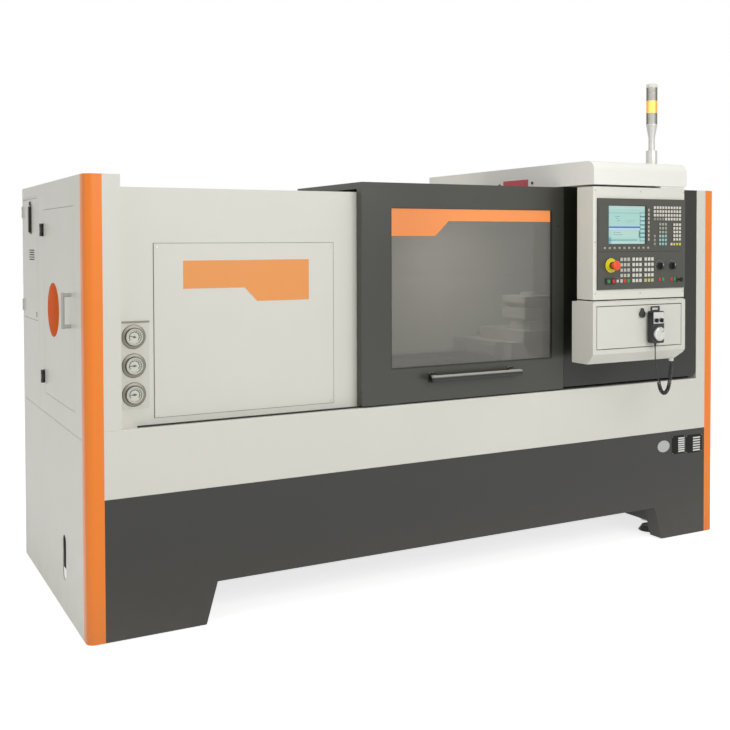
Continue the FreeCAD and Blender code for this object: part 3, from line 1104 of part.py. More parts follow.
def drive_rack():
    """The mounting plate in the cabinet with its drives, rail devices and cable ducts."""
    front = REAR_Y - RACK_STANDOFF
    right = RACK_LEFT + RACK_LENGTH
    pieces = [box(RACK_LEFT, right, front, front + SHEET, RACK_BOTTOM, RACK_TOP)]
    spacer = RACK_STANDOFF
    for x in (RACK_LEFT + 20, RACK_LEFT + RACK_LENGTH / 2, right - 20 - spacer):
        pieces.append(box(x, x + spacer, front + SHEET - 1, REAR_Y, RACK_BOTTOM + 20, RACK_TOP - 20))
    drive_top = RACK_TOP - 80
    drive_low = drive_top - DRIVE_HEIGHT
    for index in range(DRIVE_COUNT):
        x = RACK_LEFT + 30 + index * DRIVE_PITCH
        pieces.append(box(x, x + DRIVE_WIDTH, front - DRIVE_DEPTH, front + 1, drive_low, drive_top))
        for fin in range(FIN_COUNT):
            left = x + FIN_THICK + fin * FIN_PITCH
            pieces.append(box(left, left + FIN_THICK, front - DRIVE_DEPTH - FIN_REACH,
                              front - DRIVE_DEPTH + 1,
                              drive_low + 20, drive_top - 20))
    relays = RACK_LEFT + 40 + DRIVE_COUNT * DRIVE_PITCH + RUNNER_WIDTH / 2
    relay_low = RACK_TOP - 120 - RELAY_HEIGHT
    for index in range(RELAY_COUNT):
        x = relays + index * RELAY_PITCH
        pieces.append(box(x, x + RELAY_WIDTH, front - RELAY_DEPTH, front + 1, relay_low,
                          relay_low + RELAY_HEIGHT))
    rail = relay_low + RELAY_HEIGHT / 2
    pieces.append(box(relays - 10, relays + RELAY_COUNT * RELAY_PITCH, front - RELAY_DEPTH / 2, front + 1,
                      rail - 7, rail + 7))
    for top in (RACK_TOP - 14, drive_low - 24, drive_low - 144):
        pieces.append(box(RACK_LEFT + 20, right - 20, front - DUCT_DEPTH, front + 1, top - DUCT_HEIGHT, top))
    low = RACK_BOTTOM + 60
    pieces.append(box(RACK_LEFT + 80, RACK_LEFT + 80 + TRANSFORMER_LENGTH, front - TRANSFORMER_DEPTH,
                      front + 1,
                      low, low + TRANSFORMER_HEIGHT))
    return fused(pieces)


def door_rails():
    left = COLUMN_EDGE + RAIL_MARGIN
    low = box(left, RIGHT_COLUMN_LEFT - RAIL_MARGIN, RAIL_FRONT, RAIL_FRONT + RAIL_WIDTH, BAND_TOP,
              BAND_TOP + RAIL_HEIGHT)
    strip = HANGER_FRONT + (HANGER_WIDTH - HANGER_RAIL) / 2
    right = DOOR_RIGHT - RAIL_HEIGHT
    high = fused([box(left, right, HANGER_FRONT, HANGER_FRONT + HANGER_WIDTH, GUARD_TOP, GUARD_TOP + 4),
                  box(left, right, strip, strip + HANGER_RAIL, GUARD_TOP + 3, GUARD_TOP + 8)])
    return Part.makeCompound([low, high])


def rail_shoes():
    """The door's slotted feet on the lower rail and its hangers on the roof rail."""
    shoes = []
    strip = HANGER_FRONT + (HANGER_WIDTH - HANGER_RAIL) / 2
    for x in (DOOR_LEFT + 2 * SHOE_LENGTH, DOOR_RIGHT - 3 * SHOE_LENGTH):
        right = x + SHOE_LENGTH
        shoe = box(x, right, RAIL_FRONT - 5, RAIL_FRONT + RAIL_WIDTH + 5, BAND_TOP + 1, DOOR_BOTTOM + 4)
        shoes.append(shoe.cut(box(x - 1, right + 1, RAIL_FRONT - SLIDE_GAP,
                                  RAIL_FRONT + RAIL_WIDTH + SLIDE_GAP,
                                  BAND_TOP, BAND_TOP + RAIL_HEIGHT + SLIDE_GAP)))
        hanger = box(x, right, HANGER_FRONT, HANGER_FRONT + HANGER_WIDTH, GUARD_TOP + 4 + SLIDE_GAP,
                     DOOR_TOP - SHEET + 1)
        shoes.append(hanger.cut(box(x - 1, right + 1, strip - SLIDE_GAP, strip + HANGER_RAIL + SLIDE_GAP,
                                    GUARD_TOP, GUARD_TOP + 8 + SLIDE_GAP)))
    return shoes


def sliding_door():
    """A dark folded door with a framed window, and a hood that reaches back over the work area."""
    frame = box(DOOR_LEFT, DOOR_RIGHT, 0, DOOR_THICK, DOOR_BOTTOM, DOOR_TOP)
    frame = rounded(frame, 3, (0, 1, 0), lambda m: m.z < DOOR_BOTTOM + 1)
    pocket = box(DOOR_LEFT + SHEET, DOOR_RIGHT - SHEET, SHEET, DOOR_THICK + 1, DOOR_BOTTOM + SHEET,
                 DOOR_TOP - HOOD_THICK)
    window = rounded(box(WINDOW_LEFT, WINDOW_RIGHT, -1, DOOR_THICK, WINDOW_BOTTOM, WINDOW_TOP),
                     WINDOW_ROUND, (0, 1, 0))
    frame = frame.cut([pocket, window])
    lips = []
    for left, right in ((DOOR_LEFT, DOOR_LEFT + 60), (DOOR_RIGHT - 40, DOOR_RIGHT)):
        lips.append(box(left, right, DOOR_THICK - SHEET, DOOR_THICK, DOOR_BOTTOM, DOOR_TOP - 1))
    hood = box(DOOR_LEFT, DOOR_RIGHT, 1, HOOD_DEPTH, DOOR_TOP - HOOD_THICK, DOOR_TOP)
    hollow = box(DOOR_LEFT + SHEET, DOOR_RIGHT - SHEET, DOOR_THICK, HOOD_DEPTH - SHEET,
                 DOOR_TOP - HOOD_THICK - 1,
                 DOOR_TOP - SHEET)
    ribs = []
    for share in (0.25, 0.5, 0.75):
        x = DOOR_LEFT + share * (DOOR_RIGHT - DOOR_LEFT)
        ribs.append(box(x - 15, x + 15, DOOR_THICK - 1, HOOD_DEPTH - 2, DOOR_TOP - HOOD_THICK + 6,
                        DOOR_TOP - 1))
    rims = rounded(box(WINDOW_LEFT - 22, WINDOW_RIGHT + 22, SHEET + PANE_THICK, SHEET + PANE_THICK + 3,
                       WINDOW_BOTTOM - 22, WINDOW_TOP + 22), 4, (0, 1, 0))
    rims = rims.cut([box(WINDOW_LEFT, WINDOW_RIGHT, 0, 30, WINDOW_BOTTOM, WINDOW_TOP)])
    clamp_feet = []
    for x0, x1 in ((WINDOW_LEFT - 22, WINDOW_LEFT - PANE_LAP - 1), (WINDOW_RIGHT + PANE_LAP + 1,
                                                                    WINDOW_RIGHT + 22)):
        clamp_feet.append(box(x0, x1, SHEET - 1, SHEET + PANE_THICK + 1, WINDOW_BOTTOM - 22,
                              WINDOW_TOP + 22))
    return fused([frame, hood.cut(hollow), rims] + lips + ribs + rail_shoes() + clamp_feet)


def door_window():
    return rounded(box(WINDOW_LEFT - PANE_LAP, WINDOW_RIGHT + PANE_LAP, SHEET, SHEET + PANE_THICK,
                       WINDOW_BOTTOM - PANE_LAP, WINDOW_TOP + PANE_LAP), WINDOW_ROUND, (0, 1, 0))


def door_handle():
    y = -HANDLE_REACH + HANDLE_BAR
    bar = rod(HANDLE_LEFT, y, HANDLE_HEIGHT, HANDLE_BAR, HANDLE_RIGHT - HANDLE_LEFT, (1, 0, 0))
    feet = []
    for x in (HANDLE_LEFT + 22, HANDLE_RIGHT - 22):
        post = box(x - 11, x + 11, y, 0, HANDLE_HEIGHT - 10, HANDLE_HEIGHT + 10)
        pad = box(x - 15, x + 15, -5, 0, HANDLE_HEIGHT - 20, HANDLE_HEIGHT + 20)
        feet += [post, rounded(pad, 6, (0, 1, 0))]
    collars = [rod(HANDLE_LEFT - 6, y, HANDLE_HEIGHT, HANDLE_BAR - 2, 7, (1, 0, 0)),
               rod(HANDLE_RIGHT - 1, y, HANDLE_HEIGHT, HANDLE_BAR - 2, 7, (1, 0, 0))]
    return fused([bar] + feet + collars)


def coolant_tank():
    """A tank on runners that rolls out at the rear, with its pump at one end."""
    right = TANK_LEFT + TANK_LENGTH
    tank = rounded(box(TANK_LEFT, right, TANK_FRONT, TANK_REAR, TANK_BOTTOM, TANK_TOP), TANK_ROUND,
                   (0, 0, 1))
    inner = box(TANK_LEFT + TANK_WALL, right - TANK_WALL, TANK_FRONT + TANK_WALL, TANK_REAR - TANK_WALL,
                TANK_BOTTOM + TANK_WALL, TANK_TOP - TANK_WALL)
    mouth_left = TANK_LEFT + 140
    mouth_front = TANK_FRONT + 30
    mouth = box(mouth_left, mouth_left + TANK_MOUTH_LENGTH, mouth_front, mouth_front + TANK_MOUTH_WIDTH,
                TANK_TOP - TANK_WALL - 1, TANK_TOP + 1)
    pump_x = right - PUMP_EDGE
    pump_y = TANK_REAR - PUMP_EDGE
    pump = rod(pump_x, pump_y, TANK_TOP - 1, PUMP_RADIUS, PUMP_HEIGHT, (0, 0, 1))
    flange = rod(pump_x, pump_y, TANK_TOP - 1, PUMP_FLANGE, 14, (0, 0, 1))
    spout = rod(pump_x, pump_y, TANK_TOP + PUMP_RADIUS, SPOUT_RADIUS, PUMP_RADIUS + 2 * SPOUT_RADIUS,
                (-1, 0, 0))
    runners = []
    for x in (TANK_LEFT + RUNNER_WIDTH, right - 2 * RUNNER_WIDTH):
        runners.append(box(x, x + RUNNER_WIDTH, TANK_FRONT + 20, TANK_REAR - 20, 0, TANK_BOTTOM + 1))
    return fused([tank.cut([inner, mouth]), pump, flange, spout] + runners)


# ---------------------------------------------------------------- pressure gauges


def pressure_gauges():
    """Three dial gauges, each a turned case with a sunk dial, on one plate."""
    depth = RECESS - COVER_THICK
    plate = box(GAUGE_PLATE_LEFT, GAUGE_PLATE_LEFT + GAUGE_PLATE_WIDTH, depth, RECESS, GAUGE_PLATE_BOTTOM,
                GAUGE_PLATE_TOP)
    pieces = [rounded(plate, GAUGE_PLATE_ROUND, (0, 1, 0))]
    for z in GAUGE_HEIGHTS:
        half = [(0, depth), (GAUGE_FLANGE, depth), (GAUGE_FLANGE, depth - 2), (GAUGE_FLANGE - 1.5,
                                                                               depth - 4),
                (GAUGE_DIAL + 8, depth - 6), (GAUGE_DIAL + 5, depth - 15), (GAUGE_DIAL, depth - 15),
                (GAUGE_DIAL, depth - GAUGE_DEEP), (0, depth - GAUGE_DEEP)]
        wire = Part.makePolygon([Vector(GAUGE_X + r, y, z) for r, y in half + half[:1]])
        case = Part.Face(wire).revolve(Vector(GAUGE_X, 0, z), Vector(0, 1, 0), 360)
        pin = rod(GAUGE_X, depth - GAUGE_DEEP - 3.4, z, NEEDLE_PIN, 4.4, (0, 1, 0))
        pieces.append(fused([case, pin]))
    return Part.makeCompound(pieces)


def gauge_needle(z, rest):
    """A tapered pointer on its pin, turned to where it rests."""
    depth = RECESS - COVER_THICK - GAUGE_DEEP
    hub = rod(GAUGE_X, depth - 3.2, z, 3.2, 2.4, (0, 1, 0))
    blade = prism_y([(GAUGE_X - 1.5, z - NEEDLE_TAIL), (GAUGE_X + 1.5, z - NEEDLE_TAIL),
                     (GAUGE_X + 0.5, z + NEEDLE_LENGTH), (GAUGE_X - 0.5,
                                                          z + NEEDLE_LENGTH)], depth - 2.4, depth - 1.2)
    needle = fused([hub, blade]).cut(rod(GAUGE_X, depth - 6, z, NEEDLE_PIN + RUN_FIT, 8, (0, 1, 0)))
    needle.rotate(Vector(GAUGE_X, 0, z), Vector(0, 1, 0), -rest)
    return needle


# ---------------------------------------------------------------- arm and signal tower
def control_arm():
    beam = box(ARM_LEFT, ARM_RIGHT, ARM_FRONT, ARM_REAR, HEIGHT, HEIGHT + ARM_HEIGHT)
    beam = rounded(beam, ARM_ROUND, (1, 0, 0), lambda m: m.y < ARM_FRONT + 1 and m.z > HEIGHT + 1)
    hollow = box(ARM_LEFT + SHEET, ARM_RIGHT - SHEET, ARM_FRONT + ARM_ROUND, ARM_REAR - SHEET,
                 HEIGHT + SHEET,
                 HEIGHT + ARM_HEIGHT - SHEET)
    boss = box(PIVOT_X - 68, PIVOT_X + 68, PIVOT_Y - 48, PIVOT_Y + 48, BOX_TOP + SLIDE_GAP,
               HEIGHT + SHEET + 30)
    bore = rod(PIVOT_X, PIVOT_Y, BOX_TOP - 1, PIVOT_RADIUS + RUN_FIT, HEIGHT + SHEET + 40 - BOX_TOP,
               (0, 0, 1))
    return fused([beam.cut(hollow), boss]).cut(bore)


def turned_post(profile, z):
    """A round piece on the tower's axis from its (radius, height) profile."""
    wire = Part.makePolygon([Vector(TOWER_X + r, TOWER_Y, z + h) for r, h in profile + profile[:1]])
    return Part.Face(wire).revolve(Vector(TOWER_X, TOWER_Y, z), Vector(0, 0, 1), 360)


def signal_tower():
    """The post on the arm, three stacked lenses with their rims, and the cap."""
    foot = HEIGHT + ARM_HEIGHT
    cone_top = LENS_BOTTOM - TOWER_COLLAR
    post = [(0, 0), (TOWER_FOOT_RADIUS, 0), (TOWER_FOOT_RADIUS, TOWER_FOOT_HEIGHT - 4),
            (TOWER_FOOT_RADIUS - 4, TOWER_FOOT_HEIGHT), (TOWER_POLE_RADIUS, TOWER_FOOT_HEIGHT),
            (TOWER_POLE_RADIUS, TOWER_POLE_TOP), (LENS_RADIUS - 1, cone_top), (LENS_RADIUS, cone_top),
            (LENS_RADIUS, LENS_BOTTOM), (0, LENS_BOTTOM)]
    pieces = [turned_post(post, foot)]
    for index in range(LENS_COUNT):
        z = foot + LENS_BOTTOM + index * LENS_PITCH
        rim_low = LENS_PITCH - LENS_RIM
        pieces.append(rod(TOWER_X, TOWER_Y, z, LENS_RADIUS - 1, rim_low + 0.1, (0, 0, 1)))
        pieces.append(rod(TOWER_X, TOWER_Y, z + rim_low, LENS_RADIUS, LENS_RIM, (0, 0, 1)))
    cap = [(0, 0), (LENS_RADIUS, 0), (LENS_RADIUS, LENS_CAP * 0.55), (LENS_RADIUS * 0.8, LENS_CAP * 0.88),
           (LENS_RADIUS * 0.45, LENS_CAP), (0, LENS_CAP)]
    pieces.append(turned_post(cap, foot + LENS_BOTTOM + LENS_COUNT * LENS_PITCH))
    return fused(pieces)


# ---------------------------------------------------------------- control unit
def control_box():
    shell = box(BOX_LEFT, BOX_RIGHT, BOX_FRONT, BOX_REAR, BOX_BOTTOM, BOX_TOP)
    shell = rounded(shell, 6, (0, 0, 1), lambda m: m.y < BOX_FRONT + 1)
    hollow = box(BOX_LEFT + SHEET, BOX_RIGHT - SHEET, BOX_FRONT + SHEET, BOX_REAR - SHEET,
                 BOX_BOTTOM + SHEET,
                 BOX_TOP - SHEET)
    window = box(UNIT_LEFT + 14, UNIT_LEFT + UNIT_WIDTH - 14, BOX_FRONT - 1, BOX_FRONT + SHEET + 1,
                 UNIT_BOTTOM + 14,
                 DISPLAY_BOTTOM + DISPLAY_HEIGHT - 14)
    pin = rod(PIVOT_X, PIVOT_Y, BOX_TOP - SHEET, PIVOT_RADIUS, HEIGHT + SHEET + 24 - BOX_TOP + SHEET,
              (0, 0, 1))
    return fused([shell.cut([hollow, window]), pin])


def key_blocks(grids):
    """Grids of short key caps on a panel, each from its lowest left cap."""
    keys = []
    for left, low, columns, rows, pitch_x, pitch_z, width, height in grids:
        for column in range(columns):
            for row in range(rows):
                x = UNIT_LEFT + left + column * pitch_x
                z = UNIT_BOTTOM + low + row * pitch_z
                keys.append(box(x, x + width, PANEL_PLANE - KEY_RISE, PANEL_PLANE + 0.5, z, z + height))
    return keys


def display_unit():
    right = UNIT_LEFT + UNIT_WIDTH
    top = DISPLAY_BOTTOM + DISPLAY_HEIGHT
    plate = rounded(box(UNIT_LEFT, right, PANEL_PLANE, BOX_FRONT, DISPLAY_BOTTOM, top), 2, (0, 1, 0))
    rear = box(UNIT_LEFT + UNIT_LAP + 4, right - UNIT_LAP - 4, BOX_FRONT - 0.5, BOX_FRONT + 60,
               DISPLAY_BOTTOM + UNIT_LAP, top - UNIT_LAP - 4)
    sink = box(SCREEN_LEFT, SCREEN_LEFT + SCREEN_WIDTH, PANEL_PLANE - 1, PANEL_PLANE + SCREEN_SINK,
               SCREEN_BOTTOM,
               SCREEN_BOTTOM + SCREEN_HEIGHT)
    return fused([plate.cut(sink), rear] + key_blocks(DISPLAY_KEYS))


def machine_panel():
    """The panel under the display, with its keys, collars and the bores for buttons and knobs."""
    right = UNIT_LEFT + UNIT_WIDTH
    top = UNIT_BOTTOM + PANEL_HEIGHT
    plate = rounded(box(UNIT_LEFT, right, PANEL_PLANE, BOX_FRONT, UNIT_BOTTOM, top), 2, (0, 1, 0))
    rear = box(UNIT_LEFT + UNIT_LAP + 4, right - UNIT_LAP - 4, BOX_FRONT - 0.5, BOX_FRONT + 40,
               UNIT_BOTTOM + UNIT_LAP + 4, top - UNIT_LAP)
    collars = [rod(ESTOP_X, PANEL_PLANE - 3, ESTOP_Z, ESTOP_DISC, 4, (0, 1, 0)),
               rod(ESTOP_X, PANEL_PLANE - 14, ESTOP_Z, ESTOP_COLLAR, 15, (0, 1, 0)),
               rod(KEY_SWITCH_X, PANEL_PLANE - 5, ROW_Z, KEY_SWITCH_COLLAR, 6, (0, 1, 0))]
    bores = [rod(ESTOP_X, PANEL_PLANE - 20, ESTOP_Z, ESTOP_STEM + RUN_FIT, 20 + WORKING_DEPTH, (0, 1, 0)),
             rod(KEY_SWITCH_X, PANEL_PLANE - 20, ROW_Z, KEY_SWITCH_RADIUS + RUN_FIT, WORKING_DEPTH,
                 (0, 1, 0))]
    for x in ROUND_BUTTONS:
        collars.append(rod(x, PANEL_PLANE - 4, ROW_Z, BUTTON_COLLAR, 5, (0, 1, 0)))
        bores.append(rod(x, PANEL_PLANE - 20, ROW_Z, BUTTON_RADIUS + RUN_FIT, WORKING_DEPTH, (0, 1, 0)))
    for x in KNOB_XS:
        collars.append(rod(x, PANEL_PLANE - 2, KNOB_Z, KNOB_PLATE, 3, (0, 1, 0)))
        bores.append(rod(x, PANEL_PLANE - 20, KNOB_Z, KNOB_STEM + RUN_FIT, WORKING_DEPTH, (0, 1, 0)))
    return fused([plate, rear] + collars + key_blocks(PANEL_KEYS)).cut(bores)


def estop_button():
    front = PANEL_PLANE - 44
    stem = ESTOP_STEM
    half = [(0, front), (13, front + 1), (19, front + 5), (20, front + 11), (14, front + 14),
            (stem, front + 18),
            (stem, PANEL_PLANE + 12), (0, PANEL_PLANE + 12)]
    wire = Part.makePolygon([Vector(ESTOP_X + r, y, ESTOP_Z) for r, y in half + half[:1]])
    return Part.Face(wire).revolve(Vector(ESTOP_X, 0, ESTOP_Z), Vector(0, 1, 0), 360)


def override_knob(x):
    front = PANEL_PLANE - 22
    skirt = Part.makeCone(15, 13.5, 6, Vector(x, PANEL_PLANE - 2.4, KNOB_Z), Vector(0, -1, 0))
    grip = rounded(box(x - 4.5, x + 4.5, front, PANEL_PLANE - 8, KNOB_Z - 14, KNOB_Z + 14), 4, (0, 1, 0))
    shaft = rod(x, PANEL_PLANE - 3, KNOB_Z, KNOB_STEM, 14, (0, 1, 0))
    return fused([skirt, grip, shaft])


def push_button(x):
    cap = rod(x, PANEL_PLANE - 9, ROW_Z, BUTTON_RADIUS, 17, (0, 1, 0))
    dome = Part.makeCone(BUTTON_RADIUS, BUTTON_RADIUS - 1.5, 1.5, Vector(x, PANEL_PLANE - 9, ROW_Z),
                         Vector(0, -1, 0))
    return fused([cap, dome])


def key_switch():
    barrel = rod(KEY_SWITCH_X, PANEL_PLANE - 7, ROW_Z, KEY_SWITCH_RADIUS, 15, (0, 1, 0))
    return fused([barrel] + left_key(KEY_SWITCH_X, PANEL_PLANE - 7, ROW_Z))


def left_key(x, y, z):
    """A key left standing in a lock whose face is at y: its blade and its holed bow."""
    blade = box(x - 1, x + 1, y - 8, y + 1, z - 4, z + 4)
    bow = rod(x - 1, y - 15, z, 9.5, 2, (1, 0, 0))
    return [blade, bow.cut(rod(x - 2, y - 18, z, 3, 4, (1, 0, 0)))]


def corner_wedge(size):
    """What is cut from the lower right corner of the storage box."""
    return prism_y([(STORE_RIGHT - size - 1, STORE_BOTTOM - 1), (STORE_RIGHT + 1, STORE_BOTTOM - 1),
                    (STORE_RIGHT + 1, STORE_BOTTOM + size + 1)], STORE_FRONT - 1, STORE_REAR + 1)


def storage_box():
    profile = [(STORE_FRONT, STORE_BOTTOM + STORE_CHAMFER_Z), (STORE_FRONT + STORE_CHAMFER_Y, STORE_BOTTOM),
               (STORE_REAR, STORE_BOTTOM), (STORE_REAR, BOX_BOTTOM), (STORE_FRONT, BOX_BOTTOM)]
    outer = prism_x(profile, STORE_LEFT, STORE_RIGHT)
    wall = STORE_WALL
    inner = prism_x([(STORE_FRONT + wall, STORE_BOTTOM + STORE_CHAMFER_Z + 2),
                     (STORE_FRONT + STORE_CHAMFER_Y + 2, STORE_BOTTOM + wall),
                     (STORE_REAR - wall, STORE_BOTTOM + wall), (STORE_REAR - wall, BOX_BOTTOM - wall),
                     (STORE_FRONT + wall, BOX_BOTTOM - wall)], STORE_LEFT + wall, STORE_RIGHT - wall)
    inner = inner.cut(corner_wedge(STORE_CORNER + wall * math.sqrt(2)))
    corner = corner_wedge(STORE_CORNER)
    mouth = box(FLAP_LEFT - FLAP_GAP, FLAP_RIGHT + FLAP_GAP, STORE_FRONT - 1, STORE_FRONT + wall + 1,
                FLAP_BOTTOM - FLAP_GAP, FLAP_TOP + FLAP_GAP)
    hinge_z = FLAP_BOTTOM + 3.0
    seats = []
    pins = []
    for x, toward in ((FLAP_LEFT - FLAP_GAP, 1), (FLAP_RIGHT + FLAP_GAP, -1)):
        block = box(min(x, x - toward * 12), max(x, x - toward * 12), STORE_FRONT + 1, STORE_FRONT + 14,
                    hinge_z - 6, hinge_z + 6)
        seats.append(block)
        pins.append(rod(min(x - toward, x + toward * 12), STORE_FRONT + 5, hinge_z, 2.5, 13, (1, 0, 0)))
    entry = hung(CURL_ROUTE)[-1]
    gland = rod(entry.x, entry.y, STORE_BOTTOM - GLAND_LENGTH, GLAND_RADIUS, GLAND_LENGTH + 1, (0, 0, 1))
    return fused([outer.cut([inner, corner, mouth]), gland] + seats + pins)


def storage_flap():
    wall = STORE_WALL
    face = box(FLAP_LEFT, FLAP_RIGHT, STORE_FRONT, STORE_FRONT + wall, FLAP_BOTTOM, FLAP_TOP)
    hinge_z = FLAP_BOTTOM + 3.0
    pieces = [face]
    for x0, x1 in ((FLAP_LEFT + 0.5, FLAP_LEFT + 26), (FLAP_RIGHT - 26, FLAP_RIGHT - 0.5)):
        eye = rod(x0, STORE_FRONT + 5, hinge_z, 4.8, x1 - x0, (1, 0, 0))
        lug = box(x0, x1, STORE_FRONT + 1, STORE_FRONT + 5, hinge_z, hinge_z + 12)
        pieces += [eye, lug]
    pieces.append(box(FLAP_LEFT + 30, FLAP_RIGHT - 30, STORE_FRONT + 1, STORE_FRONT + 14, FLAP_TOP - 14,
                      FLAP_TOP - 12))
    holder = [box(PENDANT_X - 20, PENDANT_X + 28, STORE_FRONT - 8, STORE_FRONT + 0.5, FLAP_TOP - 62,
                  FLAP_TOP - 5),
              box(PENDANT_X - 20, PENDANT_X + 28, STORE_FRONT - 13, STORE_FRONT - 7, FLAP_TOP - 24,
                  FLAP_TOP - 5)]
    flap = fused(pieces + [fused(holder)])
    holes = [rod(LOCK_X, STORE_FRONT - 2, LOCK_Z, LOCK_RADIUS + RUN_FIT, 20, (0, 1, 0))]
    for x in (FLAP_LEFT - 1, FLAP_RIGHT - 27):
        holes.append(rod(x, STORE_FRONT + 5, hinge_z, 2.5 + RUN_FIT, 28, (1, 0, 0)))
    return flap.cut(holes)


def flap_lock():
    """The flap's quarter-turn catch with its wing; its cam turns up behind the wall to hold the flap."""
    barrel = rod(LOCK_X, STORE_FRONT - 1, LOCK_Z, LOCK_RADIUS, 16, (0, 1, 0))
    rim = rod(LOCK_X, STORE_FRONT - 4, LOCK_Z, LOCK_RADIUS + 3, 3.7, (0, 1, 0))
    cam = box(LOCK_X - CAM_WIDTH / 2, LOCK_X + CAM_LENGTH, STORE_FRONT + 14.5, STORE_FRONT + 17,
              LOCK_Z - CAM_WIDTH / 2, LOCK_Z + CAM_WIDTH / 2)
    front = STORE_FRONT - 4 - WING_THICK
    back = STORE_FRONT - 3.9
    hub = rod(LOCK_X, front, LOCK_Z, WING_RADIUS, back - front, (0, 1, 0))
    tip = rod(LOCK_X, front, LOCK_Z + WING_RISE, WING_TIP, back - front, (0, 1, 0))
    wing = prism_y([(LOCK_X - WING_RADIUS, LOCK_Z), (LOCK_X + WING_RADIUS, LOCK_Z),
                    (LOCK_X + WING_TIP, LOCK_Z + WING_RISE), (LOCK_X - WING_TIP, LOCK_Z + WING_RISE)],
                   front, back)
    return fused([rim, barrel, cam, hub, tip, wing])


# ---------------------------------------------------------------- hand pendant
def pendant():
    """The hand unit in its holder: body, label plate, wheel rest, hook and cord relief."""
    rear, front = PENDANT_REAR - 1, PENDANT_REAR - PENDANT_DEPTH
    left, right = PENDANT_X - PENDANT_WIDTH / 2, PENDANT_X + PENDANT_WIDTH / 2
    top = PENDANT_BOTTOM + PENDANT_HEIGHT
    body = rounded(box(left, right, front, rear, PENDANT_BOTTOM, top), 8, (0, 1, 0))
    label = box(left + 2, right - 2, front - 2, front + 1, top - 3 - PENDANT_LABEL_HEIGHT, top - 3)
    rest = rod(PENDANT_X, front - 2, WHEEL_Z, WHEEL_RADIUS + 1, 3, (0, 1, 0))
    hook = box(PENDANT_X - 16, PENDANT_X + 16, rear - 0.5, PENDANT_REAR, top - 44, top - 12)
    exit_point = hung(LEAD_ROUTE)[0]
    relief_top = Vector(exit_point.x, exit_point.y, PENDANT_BOTTOM + 1)
    relief = Part.makeCone(5.5, 3.6, relief_top.z - exit_point.z, relief_top, Vector(0, 0, -1))
    bores = [rod(PENDANT_X, front - 3, WHEEL_Z, WHEEL_STEM + RUN_FIT, 16, (0, 1, 0))]
    for x in PENDANT_KNOBS:
        bores.append(rod(x, front - 3, PENDANT_KNOB_Z, PENDANT_KNOB_STEM + RUN_FIT, 14, (0, 1, 0)))
    return fused([body, label, rest, hook, relief]).cut(bores)


def pendant_wheel():
    face = PENDANT_REAR - PENDANT_DEPTH - 2 - SLIDE_GAP
    disc = rod(PENDANT_X, face - 8, WHEEL_Z, WHEEL_RADIUS, 8, (0, 1, 0))
    dish = Part.makeCone(WHEEL_RADIUS - 2, WHEEL_RADIUS - 6, 6, Vector(PENDANT_X, face - 7.9, WHEEL_Z),
                         Vector(0, -1, 0))
    grip = rod(PENDANT_X + 12, PENDANT_REAR - PENDANT_DEPTH - WHEEL_PROUD, WHEEL_Z + 12, 5, 12, (0, 1, 0))
    shaft = rod(PENDANT_X, face - 1, WHEEL_Z, WHEEL_STEM, 12, (0, 1, 0))
    return fused([disc, dish, grip, shaft])


def pendant_knob(x):
    face = PENDANT_REAR - PENDANT_DEPTH - 2 - SLIDE_GAP
    skirt = rod(x, face - 5, PENDANT_KNOB_Z, 9, 5, (0, 1, 0))
    grip = box(x - 2.5, x + 2.5, face - 11, face - 4, PENDANT_KNOB_Z - 8.5, PENDANT_KNOB_Z + 8.5)
    shaft = rod(x, face - 1, PENDANT_KNOB_Z, PENDANT_KNOB_STEM, 10, (0, 1, 0))
    return fused([skirt, grip, shaft])


# ---------------------------------------------------------------- cord
def hung(route):
    """A cord's route, moved to hang from the storage box."""
    corner = Vector(STORE_LEFT, STORE_FRONT, STORE_BOTTOM)
    return [corner + Vector(*point) for point in route]


def smooth_points(route, shares):
    """Points at given shares of a smooth line through the middles of the runs of a route."""
    corners = hung(route)
    curves = []
    start = corners[0]
    for index in range(1, len(corners) - 1):
        last = index == len(corners) - 2
        end = corners[index + 1] if last else (corners[index] + corners[index + 1]) * 0.5
        curves.append((start, corners[index], end))
        start = end
    fine = []
    for a, b, c in curves:
        for step in range(60):
            t = step / 60
            fine.append(a * (1 - t) ** 2 + b * (2 * t * (1 - t)) + c * t ** 2)
    fine.append(curves[-1][2])
    travelled = [0.0]
    for first, second in zip(fine, fine[1:]):
        travelled.append(travelled[-1] + (second - first).Length)
    points = []
    reach = 0
    for share in shares:
        wanted = travelled[-1] * share
        while reach < len(fine) - 2 and travelled[reach + 1] < wanted:
            reach += 1
        part = (wanted - travelled[reach]) / (travelled[reach + 1] - travelled[reach])
        points.append(fine[reach] + (fine[reach + 1] - fine[reach]) * part)
    return points, travelled[-1]


